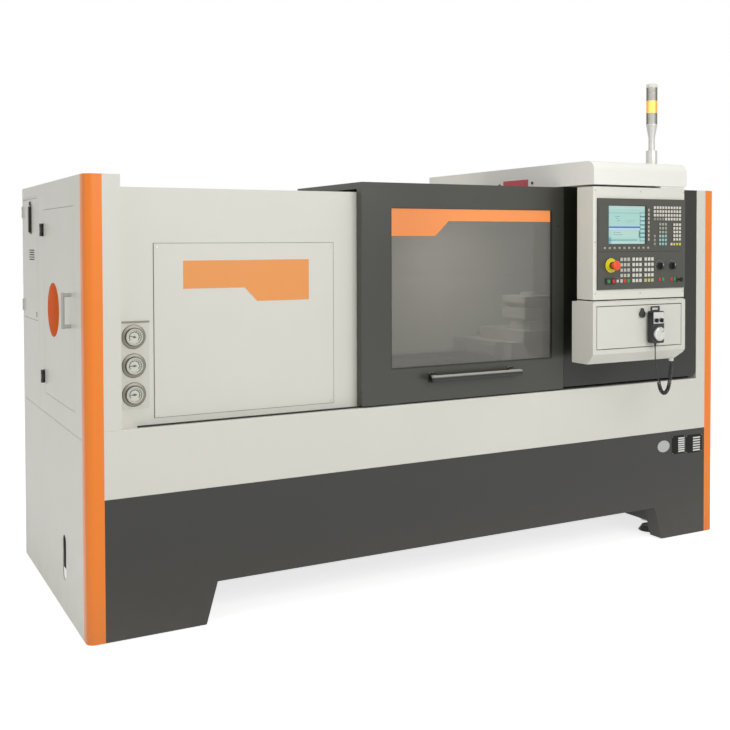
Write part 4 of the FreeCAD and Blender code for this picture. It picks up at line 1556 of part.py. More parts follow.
def faceted_tube(points, radius, sides):
    """An unbroken tube of flat faces whose joints are mitred."""
    steps = [(b - a).normalize() for a, b in zip(points, points[1:])]
    across = steps[0].cross(Vector(0, 1, 0.3)).normalize()
    up = steps[0].cross(across)
    ring = []
    for index in range(sides):
        angle = 2 * math.pi * index / sides
        ring.append(points[0] + across * (radius * math.cos(angle)) + up * (radius * math.sin(angle)))
    rings = [ring]
    for index, step in enumerate(steps):
        corner = points[index + 1]
        following = steps[index + 1] if index + 1 < len(steps) else step
        normal = (step + following).normalize()
        moved = []
        for point in rings[-1]:
            moved.append(point + step * ((corner - point).dot(normal) / step.dot(normal)))
        rings.append(moved)
    faces = [Part.Face(Part.makePolygon(rings[0] + rings[0][:1])),
             Part.Face(Part.makePolygon(rings[-1] + rings[-1][:1]))]
    for low, high in zip(rings, rings[1:]):
        for index in range(sides):
            following = (index + 1) % sides
            corners = [low[index], low[following], high[following], high[index], low[index]]
            faces.append(Part.Face(Part.makePolygon(corners)))
    shell = Part.Shell(faces)
    shell.sewShape()
    solid = Part.Solid(shell)
    if solid.Volume < 0:
        solid.reverse()
    return solid


def tube_path(corners):
    """Straight runs joined by tangent arcs, each as large as its two runs allow."""
    edges = []
    radii = []
    last = corners[0]
    for before, corner, after in zip(corners, corners[1:], corners[2:]):
        back = (before - corner).normalize()
        ahead = (after - corner).normalize()
        shorter = min((before - corner).Length, (after - corner).Length)
        half_turn = (math.pi - back.getAngle(ahead)) / 2
        radius = 0.45 * shorter / math.tan(half_turn)
        radii.append(radius)
        start = corner + back * (0.45 * shorter)
        end = corner + ahead * (0.45 * shorter)
        bisector = (back + ahead).normalize()
        middle = corner + bisector * (radius / math.cos(half_turn) - radius)
        edges.append(Part.LineSegment(last, start).toShape())
        edges.append(Part.Arc(start, middle, end).toShape())
        last = end
    edges.append(Part.LineSegment(last, corners[-1]).toShape())
    return Part.Wire(edges), radii


def cord_joint():
    """Where the straight wire turns into the curls, one wire before the first curl."""
    first = hung(CURL_ROUTE)[0]
    return first - (first - hung(LEAD_ROUTE)[-1]).normalize() * CORD_WIRE


def cord_lead():
    """The straight-hanging wire between the pendant and the curls."""
    corners = hung(LEAD_ROUTE) + [cord_joint()]
    path, radii = tube_path(corners)
    start = corners[0]
    run = (corners[1] - start).normalize()
    section = Part.Wire(Part.makeCircle(CORD_WIRE / 2, start, run))
    tube = path.makePipeShell([section], True, False)
    wanted = math.pi * (CORD_WIRE / 2) ** 2 * path.Length
    print("cord lead radii", [round(radius, 1) for radius in radii])
    print(f"cord lead volume {tube.Volume:.1f}, section times length {wanted:.1f}")
    return tube


def cord_curl():
    """The curly part of the cord: one tube that winds round the hanging loop."""
    count = CURL_COUNT * CURL_SIDES
    travel = [0.0]
    for index in range(count):
        from_end = min(index, count - 1 - index) / CURL_SIDES
        travel.append(travel[-1] + 1 + CURL_EASE * max(0.0, 1 - from_end))
    middle, length = smooth_points(CURL_ROUTE, [share / travel[-1] for share in travel])
    steps = [(b - a).normalize() for a, b in zip(middle, middle[1:])]
    steps.append(steps[-1])
    side = steps[0].cross(Vector(0, 1, 0)).normalize()
    points = [cord_joint()]
    for index, centre in enumerate(middle):
        side = (side - steps[index] * side.dot(steps[index])).normalize()
        other = steps[index].cross(side)
        angle = 2 * math.pi * index / CURL_SIDES
        reach = (CURL_OUTER - CORD_WIRE) / 2 * min(1.0, index / CURL_SIDES, (count - index) / CURL_SIDES)
        points.append(centre + (side * math.cos(angle) + other * math.sin(angle)) * reach)
    last = hung(CURL_ROUTE)[-1]
    points.append(Vector(last.x, last.y, STORE_BOTTOM - GLAND_LENGTH))
    least = min((points[a] - points[b]).Length for a in range(len(points))
                for b in range(a + CURL_SIDES // 2 + 1, min(a + 3 * CURL_SIDES, len(points))))
    print(f"curl axis length {length:.1f}, least gap to itself {least - CORD_WIRE:.2f}")
    return faceted_tube(points, CORD_WIRE / 2, 6)


# ---------------------------------------------------------------- write every piece
save("machine_base", fused([machine_base()] + foot_lugs()))
save("levelling_feet", levelling_feet())
save("bed", bed())
save("headstock", headstock())
save("coolant_tank", coolant_tank())
save("front_apron", front_apron())
save("front_band", front_band())
save("headstock_guard", headstock_guard())
save("service_cover", service_cover())
save("pressure_gauges", pressure_gauges())
save("corner_strips", corner_strips())
save("side_panels", side_panels())
save("fixed_panel", fixed_panel())
save("rear_panels", rear_panels())
save("electrical_cabinet", electrical_cabinet())
save("drive_rack", drive_rack())
save("control_arm", control_arm())
save("signal_tower", signal_tower())
save("door_rails", door_rails())
save("drive_motors", drive_motors())
save("drive_belt", drive_belt())
for index, z in enumerate(GAUGE_HEIGHTS):
    save(f"gauge_needle_{index + 1}", gauge_needle(z, NEEDLE_RESTS[index]))
save("sliding_door", sliding_door())
save("door_window", door_window())
save("door_handle", door_handle())
save("side_door", side_door())
save("cabinet_door", cabinet_door())
save("cabinet_latch", cabinet_latch())
save("control_box", control_box())
save("display_unit", display_unit())
save("machine_panel", machine_panel())
save("estop_button", estop_button())
save("spindle_override", override_knob(KNOB_XS[0]))
save("feed_override", override_knob(KNOB_XS[1]))
save("on_button", push_button(ROUND_BUTTONS[0]))
save("off_button", push_button(ROUND_BUTTONS[1]))
save("key_switch", key_switch())
save("storage_box", storage_box())
save("storage_flap", storage_flap())
save("flap_lock", flap_lock())
save("pendant", pendant())
save("pendant_wheel", pendant_wheel())
save("axis_knob", pendant_knob(PENDANT_KNOBS[0]))
save("step_knob", pendant_knob(PENDANT_KNOBS[1]))
save("cord_lead", cord_lead())
save("cord_curl", cord_curl())
save("spindle", spindle())
save("motor_pulley", motor_pulley())
save("chuck", chuck())
for turn in range(3):
    save(f"chuck_jaw_{turn + 1}", chuck_jaw(turn))
save("carriage", carriage())
save("cross_slide", cross_slide())
save("turret_head", turret_head())
save("tailstock", tailstock())
save("quill", quill())
save("feed_screw", feed_screw())
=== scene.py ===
# %% [markdown]
# # A turning lathe in its sheet-metal enclosure
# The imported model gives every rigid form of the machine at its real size. This lesson loads it, sets the
# camera and the light, and then dresses it: paint, glass, steel, rubber, and the small pieces that a maker
# would stick, screw or print on the sheets.

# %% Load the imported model
import json
import math
import bmesh
import bpy
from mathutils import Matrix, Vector


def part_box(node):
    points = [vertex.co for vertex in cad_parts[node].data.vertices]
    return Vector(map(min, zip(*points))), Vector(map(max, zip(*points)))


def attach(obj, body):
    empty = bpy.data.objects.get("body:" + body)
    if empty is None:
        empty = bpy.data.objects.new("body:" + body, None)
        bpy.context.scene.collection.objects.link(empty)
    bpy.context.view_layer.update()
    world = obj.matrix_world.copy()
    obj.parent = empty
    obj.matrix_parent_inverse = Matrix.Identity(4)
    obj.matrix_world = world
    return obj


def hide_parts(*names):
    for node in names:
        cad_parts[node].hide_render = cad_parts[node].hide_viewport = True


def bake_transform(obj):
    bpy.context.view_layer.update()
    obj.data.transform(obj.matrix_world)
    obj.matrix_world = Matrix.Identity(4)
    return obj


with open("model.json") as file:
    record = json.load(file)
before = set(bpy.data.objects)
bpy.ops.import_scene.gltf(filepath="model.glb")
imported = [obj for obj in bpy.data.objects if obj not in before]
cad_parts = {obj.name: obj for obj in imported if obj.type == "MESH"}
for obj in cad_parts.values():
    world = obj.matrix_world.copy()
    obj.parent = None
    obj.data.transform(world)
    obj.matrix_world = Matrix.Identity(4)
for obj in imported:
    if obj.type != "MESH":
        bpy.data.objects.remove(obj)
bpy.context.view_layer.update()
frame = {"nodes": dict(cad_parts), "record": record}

nodes = frame["nodes"]

# %% [markdown]
# The machine's drawing counts millimetres from its left front lower corner, and the model counts metres from
# the middle of its outline. One small function carries a drawing point over, so all numbers below can be
# read straight off the drawing.

# %% From drawing to model
DRAWING_MIDDLE = (1433.25, 443.5)
MM = 0.001


def at(x, y, z):
    """A point of the drawing, in millimetres, as a point of the model, in metres."""
    return Vector(((x - DRAWING_MIDDLE[0]) * MM, (y - DRAWING_MIDDLE[1]) * MM, z * MM))


def drawing_point(corner):
    """A point of the model, in metres, as a point of the drawing, in millimetres."""
    return (corner.x / MM + DRAWING_MIDDLE[0], corner.y / MM + DRAWING_MIDDLE[1], corner.z / MM)


print("left front lower corner of the machine:", tuple(round(v, 3) for v in at(0, 0, 0)))

# %% [markdown]
# ## Camera
# The picture was taken with an ordinary lens from the left front, a little above chest height. The horizon
# sits above the picture's middle, which a shifted lens gives without tilting the upright edges.

# %% Camera
camera_data = bpy.data.cameras.new("camera")
camera_data.lens = 50.0
camera_data.sensor_width = 36.0
camera_data.shift_y = -0.1356
camera = bpy.data.objects.new("camera", camera_data)
camera.location = at(-758, -3403, 1361)
camera.rotation_euler = (math.radians(90 - 1.44), math.radians(0.16), math.radians(-28.05))
bpy.context.scene.collection.objects.link(camera)
bpy.context.scene.camera = camera
bpy.context.scene.view_settings.view_transform = "Standard"
print("camera stands at", tuple(round(v, 2) for v in camera.location))

# %% [markdown]
# ## Plain helpers
# Most pieces are small meshes: a plate cut from sheet, or a form turned on a lathe. Each helper writes its
# points where the piece really is, so the object itself stays at the origin and patterns never slide.

# %% Helpers that make meshes
def new_object(name, mesh, material):
    """An object for a finished mesh, with one material."""
    piece = bpy.data.objects.new(name, mesh)
    bpy.context.scene.collection.objects.link(piece)
    if material is not None:
        mesh.materials.clear()
        mesh.materials.append(material)
    return piece


def from_bmesh(name, bm, material, smooth=False):
    """A finished object from a mesh in the making, with faces that point outwards."""
    bmesh.ops.recalc_face_normals(bm, faces=bm.faces)
    for face in bm.faces:
        face.smooth = smooth
    mesh = bpy.data.meshes.new(name)
    bm.to_mesh(mesh)
    bm.free()
    return new_object(name, mesh, material)


def fit(piece, body):
    """Lets a piece move with its body and prints its size."""
    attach(piece, body)
    spans = [[v.co[k] for v in piece.data.vertices] for k in range(3)]
    size = [round((max(span) - min(span)) / MM, 1) for span in spans]
    print(f"{piece.name}: {size} mm, {len(piece.data.polygons)} faces, on {body}")
    return piece


def bridge(bm, first, second):
    """Faces between two closed rows of equally many points."""
    for k in range(len(first)):
        after = (k + 1) % len(first)
        bm.faces.new([first[k], first[after], second[after], second[k]])


def soften(bm, rows, width):
    """Rounds the edges that run along one of the rows of points, by a width in mm."""
    bmesh.ops.recalc_face_normals(bm, faces=bm.faces)
    edges = [e for e in bm.edges if any(all(v in row for v in e.verts) for row in rows)]
    bmesh.ops.bevel(bm, geom=edges, offset=width * MM, segments=2, affect="EDGES", profile=0.5)


def plate(name, outline, place, depth, thick, material, edge):
    """A plate cut to an outline, its back at a depth, its front pushed out by its thickness."""
    bm = bmesh.new()
    back, front = [[bm.verts.new(place(level, side, z)) for side, z in outline]
                   for level in (depth, depth - thick)]
    bm.faces.new(front)
    bm.faces.new(back[::-1])
    bridge(bm, back, front)
    soften(bm, [front], edge)
    return from_bmesh(name, bm, material)


def front_plate(name, outline, y, thick, material, edge=0.4):
    """A plate that faces the front, cut to an outline of (x, z) points, its back at y."""
    return plate(name, outline, lambda depth, x, z: at(x, depth, z), y, thick, material, edge)


def left_plate(name, outline, x, thick, material, edge=0.4):
    """A plate that faces left, cut to an outline of (y, z) points, its back at x."""
    return plate(name, outline, at, x, thick, material, edge)


def ring_plate(name, outer, inner, y, thick, material, edge=0.3):
    """A flat ring between two outlines of (x, z) points with equally many points, its back at y."""
    bm = bmesh.new()
    rows = [[bm.verts.new(at(x, depth, z)) for x, z in outline]
            for outline, depth in ((outer, y), (outer, y - thick), (inner, y - thick), (inner, y))]
    for first, second in zip(rows, rows[1:] + rows[:1]):
        bridge(bm, first, second)
    soften(bm, rows[1:3], edge)
    return from_bmesh(name, bm, material)


def box_outline(x0, x1, z0, z1):
    return [(x0, z0), (x1, z0), (x1, z1), (x0, z1)]


def rounded_outline(x0, x1, z0, z1, radius, steps=6):
    """The outline of a rectangle with round corners."""
    outline = []
    corners = ((x1 - radius, z0 + radius, -90), (x1 - radius, z1 - radius, 0), (x0 + radius, z1 - radius, 90),
               (x0 + radius, z0 + radius, 180))
    for cx, cz, start in corners:
        for k in range(steps + 1):
            angle = math.radians(start + 90 * k / steps)
            outline.append((cx + radius * math.cos(angle), cz + radius * math.sin(angle)))
    return outline


def around(steps):
    """The cosine and sine of each of so many steps once round."""
    return [(math.cos(2 * math.pi * k / steps), math.sin(2 * math.pi * k / steps)) for k in range(steps)]


def circle(x, z, radius, steps=48):
    return [(x + radius * c, z + radius * s) for c, s in around(steps)]


def squircle(x, z, half, steps=48, power=10):
    """A square with round corners, sampled by angle as circle() is."""
    outline = []
    for c, s in around(steps):
        reach = half / (abs(c) ** power + abs(s) ** power) ** (1 / power)
        outline.append((x + reach * c, z + reach * s))
    return outline


def turned(name, profile, centre, axis, material, steps=48):
    """A turned form: (radius, height) points go round an axis that starts at centre."""
    axis = Vector(axis).normalized()
    side = axis.orthogonal().normalized()
    other = axis.cross(side)
    bm = bmesh.new()
    rings = []
    for radius, height in profile:
        middle = centre + axis * (height * MM)
        if radius <= 0:
            rings.append([bm.verts.new(middle)])
            continue
        rings.append([bm.verts.new(middle + (side * c + other * s) * (radius * MM)) for c, s in around(steps)])
    for low, high in zip(rings, rings[1:]):
        for k in range(steps):
            after = (k + 1) % steps
            corners = [low[k % len(low)], low[after % len(low)], high[after % len(high)], high[k % len(high)]]
            bm.faces.new(list(dict.fromkeys(corners)))
    piece = from_bmesh(name, bm, material, smooth=True)
    piece.data.set_sharp_from_angle(angle=math.radians(35))
    return piece


print("mesh helpers ready")

# %% [markdown]
# Every finish, and every pattern that repeats, is a tree of nodes. One short class adds nodes to any tree.
# Each link names an input and gives it another node's output or a plain value.

# %% Helpers that make node trees
class Nodes:
    """A node tree in the making, with short ways to add and join its nodes."""

    def __init__(self, tree, prefix="ShaderNode"):
        self.tree = tree
        self.prefix = prefix

    def wire(self, socket, source):
        """Gives an input another node's output or a plain value."""
        if isinstance(source, bpy.types.NodeSocket):
            self.tree.links.new(source, socket)
        else:
            socket.default_value = source

    def node(self, kind, links=(), **settings):
        made = self.tree.nodes.new(self.prefix + kind)
        for key, value in settings.items():
            setattr(made, key, value)
        for label, source in links:
            self.wire(made.inputs[label], source)
        return made

    def out(self, kind, links=(), **settings):
        """The first output of a new node."""
        return self.node(kind, links, **settings).outputs[0]

    def math(self, operation, first, second, clamp=False):
        return self.out("Math", [(0, first), (1, second)], operation=operation, use_clamp=clamp)

    def mixed(self, factor, first, second):
        """Two colours mixed by a factor."""
        return self.node("Mix", [(0, factor), (6, first), (7, second)], data_type="RGBA").outputs[2]

    def place(self):
        """Where on the machine a spot is, in metres."""
        return self.node("TexCoord").outputs["Object"]

    def shade(self, **sources):
        """Gives inputs of the material's shader another node's output."""
        for label, source in sources.items():
            self.wire(self.shader[label.replace("_", " ")], source)


def node_group(name, inputs, outputs, kind="Shader"):
    """A node group to be filled. An input gives its first value or its kind, and an output its kind."""
    group = Nodes(bpy.data.node_groups.new(name, kind + "NodeTree"), "ShaderNode" if kind == "Shader" else "")
    new_socket = group.tree.interface.new_socket
    for way, sockets in (("INPUT", inputs), ("OUTPUT", outputs)):
        for label, value in sockets.items():
            value_kind = {str: value, int: "Int", float: "Float", tuple: "Vector"}[type(value)]
            socket = new_socket(name=label, in_out=way, socket_type="NodeSocket" + value_kind)
            if value != value_kind:
                socket.default_value = value
    group.given = group.tree.nodes.new("NodeGroupInput").outputs
    group.result = group.tree.nodes.new("NodeGroupOutput").inputs
    return group


def new_material(name, plain):
    """The nodes of a new material, whose shader has plain values to start with."""
    material = bpy.data.materials.new(name)
    material.use_nodes = True
    nodes_here = Nodes(material.node_tree)
    nodes_here.material = material
    nodes_here.shader = material.node_tree.nodes["Principled BSDF"].inputs
    for label, value in plain.items():
        nodes_here.shader[label].default_value = value
    return nodes_here


print("node helpers ready")

# %% [markdown]
# ## The hand unit's cord
# A limp lead hangs from the hand unit and then winds into a springy curl that sags in a loop and goes up into
# the box. The curl could be a modifier on a straight spring, but a real one follows its own sagging line.
# So the hanging line is drawn first as a smooth spline, points are read from it, and the turns of the curl
# are wound round them as more points of the cord's own spline.

# %% The cord's line
BOX_CORNER = at(1979, -224, 853)
LEAD_POINTS = [(0.315, -0.023, 0.063), (0.315, -0.023, 0.023), (0.3195, -0.022, -0.017),
               (0.328, -0.0195, -0.049)]
CURL_POINTS = [(0.339, -0.016, -0.075), (0.347, -0.0135, -0.101), (0.361, -0.010, -0.128),
               (0.384, -0.0055, -0.143), (0.411, 0.002, -0.131), (0.431, 0.012, -0.105), (0.445, 0.022, -0.076),
               (0.459, 0.032, -0.047), (0.465, 0.037, -0.017)]
WIRE = 0.0046
CURL_RADIUS = 0.0064
CURL_TURNS = 30
POINTS_PER_TURN = 12
END_SPREAD = 1.5
GLAND_HEIGHT = -0.012


def smooth_curve(name, points, resolution):
    """A curve object of one smooth spline that the points pull into shape."""
    data = bpy.data.curves.new(name, "CURVE")
    data.dimensions = "3D"
    spline = data.splines.new("NURBS")
    spline.points.add(len(points) - 1)
    for k, point in enumerate(points):
        spline.points[k].co = (*point, 1.0)
    spline.order_u = 3
    spline.use_endpoint_u = True
    spline.resolution_u = resolution
    curve = bpy.data.objects.new(name, data)
    bpy.context.scene.collection.objects.link(curve)
    return curve


def line_of(curve):
    """The points of a curve's own line."""
    bpy.context.view_layer.update()
    mesh = bpy.data.meshes.new_from_object(curve)
    line = [v.co.copy() for v in mesh.vertices]
    bpy.data.meshes.remove(mesh)
    return line


route = smooth_curve("curl_route", [BOX_CORNER + Vector(p) for p in CURL_POINTS], 24)
middle_line = line_of(route)
bpy.data.objects.remove(route)
travelled = [0.0]
for first, second in zip(middle_line, middle_line[1:]):
    travelled.append(travelled[-1] + (second - first).length)
print("the curl hangs along", round(travelled[-1] / MM), "mm")

# %% Wind the curl and sweep the wire
count = CURL_TURNS * POINTS_PER_TURN
shares = [0.0]
for k in range(count):
    from_end = min(k, count - 1 - k) / POINTS_PER_TURN
    shares.append(shares[-1] + 1 + END_SPREAD * max(0.0, 1 - from_end))
wound = []
side = None
reach = 0
for k, share in enumerate(shares):
    wanted = share / shares[-1] * travelled[-1]
    while reach < len(middle_line) - 2 and travelled[reach + 1] < wanted:
        reach += 1
    step = middle_line[reach + 1] - middle_line[reach]
    centre = middle_line[reach] + step * ((wanted - travelled[reach]) / step.length)
    step.normalize()
    if side is None:
        side = step.cross(Vector((0, 1, 0))).normalized()
    side = (side - step * side.dot(step)).normalized()
    angle = 2 * math.pi * k / POINTS_PER_TURN
    wide = CURL_RADIUS * min(1.0, k / POINTS_PER_TURN, (count - k) / POINTS_PER_TURN)
    wound.append(centre + (side * math.cos(angle) + step.cross(side) * math.sin(angle)) * wide)
lead = [BOX_CORNER + Vector(p) for p in LEAD_POINTS]
gland_end = BOX_CORNER + Vector((CURL_POINTS[-1][0], CURL_POINTS[-1][1], GLAND_HEIGHT))
cord_curve = smooth_curve("cord_line", lead + wound + [gland_end], 3)
cord_line = line_of(cord_curve)
cord_curve.data.bevel_depth = WIRE / 2
cord_curve.data.bevel_resolution = 3
bpy.context.view_layer.update()
cord_mesh = bpy.data.meshes.new_from_object(cord_curve)
bpy.data.objects.remove(cord_curve)
hand_unit_cord = new_object("hand_unit_cord", cord_mesh, None)
for face in cord_mesh.polygons:
    face.use_smooth = True
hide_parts("cord_lead", "cord_curl")
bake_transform(hand_unit_cord)

# %% [markdown]
# ## Light and floor
# A machine is photographed in soft, even light with a slightly stronger front. Three large soft lamps do
# that. A small one lights the work area behind the window, and another the near side of the control unit.
# The world is white only for what looks straight at it, so steel and glass mirror the same white studio, and
# the floor lies in it without a visible horizon while it keeps the machine's shadow.

# %% Lamps
def soft_lamp(name, place, target, size, power, hidden_from=()):
    """A rectangular lamp that points at a spot; some kinds of rays don't see it."""
    data = bpy.data.lights.new(name, "AREA")
    data.shape = "RECTANGLE"
    data.size, data.size_y = size
    data.energy = power
    lamp = bpy.data.objects.new(name, data)
    lamp.location = place
    lamp.rotation_euler = (Vector(target) - Vector(place)).to_track_quat("-Z", "Y").to_euler()
    for rays in hidden_from:
        setattr(lamp, "visible_" + rays, False)
    bpy.context.scene.collection.objects.link(lamp)


soft_lamp("front_lamp", (0.5, -6.0, 3.4), (0.1, 0, 0.9), (4.5, 3.0), 144)
soft_lamp("left_lamp", (-6.0, -2.0, 3.0), (0, 0, 0.9), (3.5, 3.0), 33)
soft_lamp("top_lamp", (0.0, -0.8, 5.2), (0, 0, 0.8), (5.0, 3.0), 55)
soft_lamp("work_lamp", at(1700, 260, 1480), at(1850, 300, 1000), (0.28, 0.28), 5,
          ("camera", "transmission", "glossy"))
soft_lamp("unit_fill", at(1400, -700, 1500), at(2400, -500, 1480), (0.7, 0.7), 1.7, ("camera", "glossy"))

# %% World and floor
FLOOR_GLOW = 0.75
FLOOR_REACH = 30


def seen_directly(nodes_here):
    """1 for what the camera, a mirror or glass sees, 0 for what lights the machine."""
    path = nodes_here.node("LightPath").outputs
    straight = nodes_here.math("MAXIMUM", path["Is Camera Ray"], path["Is Glossy Ray"])
    return nodes_here.math("MAXIMUM", straight, path["Is Transmission Ray"])


world = bpy.data.worlds.new("studio")
bpy.context.scene.world = world
world.use_nodes = True
sky = Nodes(world.node_tree)
sky.tree.nodes.clear()
lighting = sky.out("Background", [("Color", (1.0, 0.985, 0.95, 1)), ("Strength", 0.4)])
white = sky.out("Background", [("Color", (1, 1, 1, 1)), ("Strength", 1.0)])
sky.node("OutputWorld", [(0, sky.out("MixShader", [(0, seen_directly(sky)), (1, lighting), (2, white)]))])

paving = new_material("studio_floor", {"Base Color": (0.8, 0.8, 0.8, 1), "Roughness": 0.9,
                                       "Specular IOR Level": 0.1, "Emission Color": (1, 1, 1, 1)})
paving.shade(Emission_Strength=paving.math("MULTIPLY", seen_directly(paving), FLOOR_GLOW))
floor_bm = bmesh.new()
for x, y in ((-1, -1), (1, -1), (1, 1), (-1, 1)):
    floor_bm.verts.new((x * FLOOR_REACH, y * FLOOR_REACH, 0))
floor_bm.faces.new(floor_bm.verts)
floor = from_bmesh("studio_floor", floor_bm, paving.material)
print("floor and world are white")

# %% [markdown]
# ## Finishes
# Sprayed sheet metal is never one flat colour: the film has a fine orange-peel skin, hands leave duller
# patches, grime gathers near the floor and edges are rubbed paler. Each of these is made once, as a node
# group, and every paint takes it with its own amounts.

# %% What all skins share
def colour(red, green, blue):
    """A colour as read off a painted sample, 0 to 255, for a shader."""
    linear = []
    for value in (red, green, blue):
        share = value / 255
        linear.append(share / 12.92 if share <= 0.04045 else ((share + 0.055) / 1.055) ** 2.4)
    return (*linear, 1.0)


def skin_group(name, inputs):
    """A group that takes a colour and its own inputs, and gives back a skin with relief."""
    return node_group(name, {"Color": "Color", **inputs},
                      {"Color": "Color", "Roughness": "Float", "Height": "Float"})


def varied(group, noise, amount):
    """A noise that swings about zero, times an amount."""
    return group.math("MULTIPLY", group.math("SUBTRACT", noise, 0.5), amount)


def toned(group, swing):
    """The group's colour, made brighter or darker by a swing about zero."""
    bright = group.math("ADD", swing, 1.0)
    return group.out("VectorMath", [(0, group.given["Color"]), (3, bright)], operation="SCALE")


def end_skin(group, tint, noise, amount, height):
    """Hands out the colour, a roughness that varies with a noise, and the relief."""
    rough = group.math("ADD", group.given["Roughness"], varied(group, noise, amount), clamp=True)
    for label, source in (("Color", tint), ("Roughness", rough), ("Height", height)):
        group.wire(group.result[label], source)


print("a sample of the white paint is", [round(v, 2) for v in colour(222, 221, 214)[:3]])

# %% Sprayed paint
sprayed = skin_group("sprayed_paint", {"Roughness": 0.4, "Tone": 0.03, "Peel Size": 700.0, "Grime": 0.3,
                                       "Wear": 0.3})
place = sprayed.place()
patches = sprayed.out("TexNoise", [("Vector", place), ("Scale", 2.2), ("Detail", 5.0), ("Roughness", 0.6)])
smudges = sprayed.out("TexNoise", [("Vector", place), ("Scale", 11.0), ("Detail", 6.0), ("Roughness", 0.7)])
peel = sprayed.out("TexNoise", [("Vector", place), ("Scale", sprayed.given["Peel Size"]), ("Detail", 1.0)])
fresh = toned(sprayed, sprayed.math("MULTIPLY", varied(sprayed, patches, sprayed.given["Tone"]), 2.0))
height_off = sprayed.node("SeparateXYZ", [(0, place)]).outputs[2]
low = sprayed.out("MapRange", [(0, height_off), (1, 0.0), (2, 0.35), (3, 1.0), (4, 0.0)])
grimy = sprayed.math("MULTIPLY", sprayed.math("MULTIPLY", low, low), smudges)
grimy = sprayed.math("MULTIPLY", grimy, sprayed.given["Grime"], clamp=True)
dulled = sprayed.mixed(grimy, fresh, colour(120, 114, 104))
round_off = sprayed.out("Bevel", [("Radius", 0.0016)], samples=4)
straight = sprayed.node("NewGeometry").outputs["Normal"]
alike = sprayed.node("VectorMath", [(0, round_off), (1, straight)], operation="DOT_PRODUCT").outputs["Value"]
edge = sprayed.math("MULTIPLY", sprayed.math("SUBTRACT", 1.0, alike), 5.0)
edge = sprayed.math("MULTIPLY", edge, smudges, clamp=True)
edge = sprayed.math("MULTIPLY", edge, sprayed.given["Wear"], clamp=True)
end_skin(sprayed, sprayed.mixed(edge, dulled, colour(196, 192, 184)), smudges, 0.16, peel)

# %% Ground steel, castings and moulded plastic
ground = skin_group("ground_metal", {"Roughness": 0.3, "Tone": 0.1, "Along": (1, 60, 60)})
place = ground.place()
stretched = ground.out("VectorMath", [(0, place), (1, ground.given["Along"])], operation="MULTIPLY")
lines = ground.out("TexNoise", [("Vector", stretched), ("Scale", 14.0), ("Detail", 6.0), ("Roughness", 0.7)])
stains = ground.out("TexNoise", [("Vector", place), ("Scale", 9.0), ("Detail", 4.0)])
swing = ground.math("ADD", *[varied(ground, noise, ground.given["Tone"]) for noise in (lines, stains)])
end_skin(ground, toned(ground, swing), lines, 0.3, lines)

moulded = skin_group("moulded_grain", {"Roughness": 0.5, "Tone": 0.05, "Grain Size": 900.0})
place = moulded.place()
pebbles = moulded.out("TexVoronoi", [("Vector", place), ("Scale", moulded.given["Grain Size"])])
smudges = moulded.out("TexNoise", [("Vector", place), ("Scale", 25.0), ("Detail", 5.0)])
end_skin(moulded, toned(moulded, varied(moulded, smudges, moulded.given["Tone"])), smudges, 0.2, pebbles)
print("groups:", [g.tree.name for g in (sprayed, ground, moulded)])

# %% [markdown]
# A finish is one shader and one of those groups. What is the same all over the surface, such as the metal
# share or how strongly it mirrors, is written straight on the shader. The tables give each finish its
# colour, its roughness, the strength of its relief, and then the group's own amounts and the plain values.

# %% Mix the finishes
finishes = {}


def finish(name, group, tint, roughness, bump, amounts=None, plain=None, bump_depth=0.0002):
    """A material that is kept by its name: the group gives its skin, the rest is plain."""
    made = new_material(name, plain or {})
    values = {"Color": colour(*tint), "Roughness": roughness, **(amounts or {})}
    skin = made.node("Group", values.items(), node_tree=group.tree).outputs
    relief = made.out("Bump", [("Strength", bump), ("Distance", bump_depth), ("Height", skin["Height"])])
    made.shade(Base_Color=skin["Color"], Roughness=skin["Roughness"], Normal=relief)
    finishes[name] = made.material
    return made.material


WHITE_SHEET = ((227, 226, 217), 0.38, 0.12, {"Wear": 0.25})
SPRAYED = {
    "white_paint": WHITE_SHEET,
    "hinged_sheet": WHITE_SHEET,
    "side_door_sheet": WHITE_SHEET,
    "cabinet_door_sheet": WHITE_SHEET,
    "bright_white": ((221, 220, 211), 0.38, 0.12, {"Wear": 0.2}),
    # The arm takes the white paint made lighter, as painted light.
    "arm_white_painted_light": ((242, 241, 235), 0.38, 0.12, {"Wear": 0.2}),
    "control_housing": ((230, 229, 220), 0.36, 0.12, {"Wear": 0.2}),
    "gauge_case": ((218, 217, 208), 0.4, 0.1),
    "orange_paint": ((255, 138, 36), 0.36, 0.12),
    "badge_paint": ((244, 160, 86), 0.36, 0.1),
    "cover_orange": ((236, 98, 14), 0.6, 0.1, {}, {"Specular IOR Level": 0.05}),
    "red_plate_paint": ((205, 62, 78), 0.35, 0.1),
    "yellow_paint": ((232, 205, 20), 0.4, 0.1),
    "grey_paint": ((150, 153, 155), 0.45, 0.12),
    # This grey is painted shade, for the strip along the top of the gauges' recess.
    "shade_strip_grey": ((150, 146, 132), 0.5, 0.1),
    "dark_paint": ((43, 43, 39), 0.42, 0.12, {"Wear": 0.25, "Tone": 0.08}),
    "door_paint": ((63, 64, 57), 0.3, 0.08, {"Wear": 0.2, "Tone": 0.06}),
    # The fixed panel takes the door's dark paint made darker, painted shade under the control unit.
    "panel_paint_painted_shade": ((26, 27, 22), 0.34, 0.08, {"Wear": 0.2, "Tone": 0.06}),
    # The handle's black gets a painted highlight on its top, laid on below.
    "handle_black_painted_highlight": ((16, 16, 15), 0.3, 0.05, {"Wear": 0.0, "Tone": 0.0}),
    "casting": ((118, 122, 124), 0.55, 0.4, {"Peel Size": 160.0, "Tone": 0.1}, {}, 0.0006),
    "pale_casting": ((190, 188, 178), 0.5, 0.3, {"Peel Size": 160.0, "Tone": 0.08}),
}
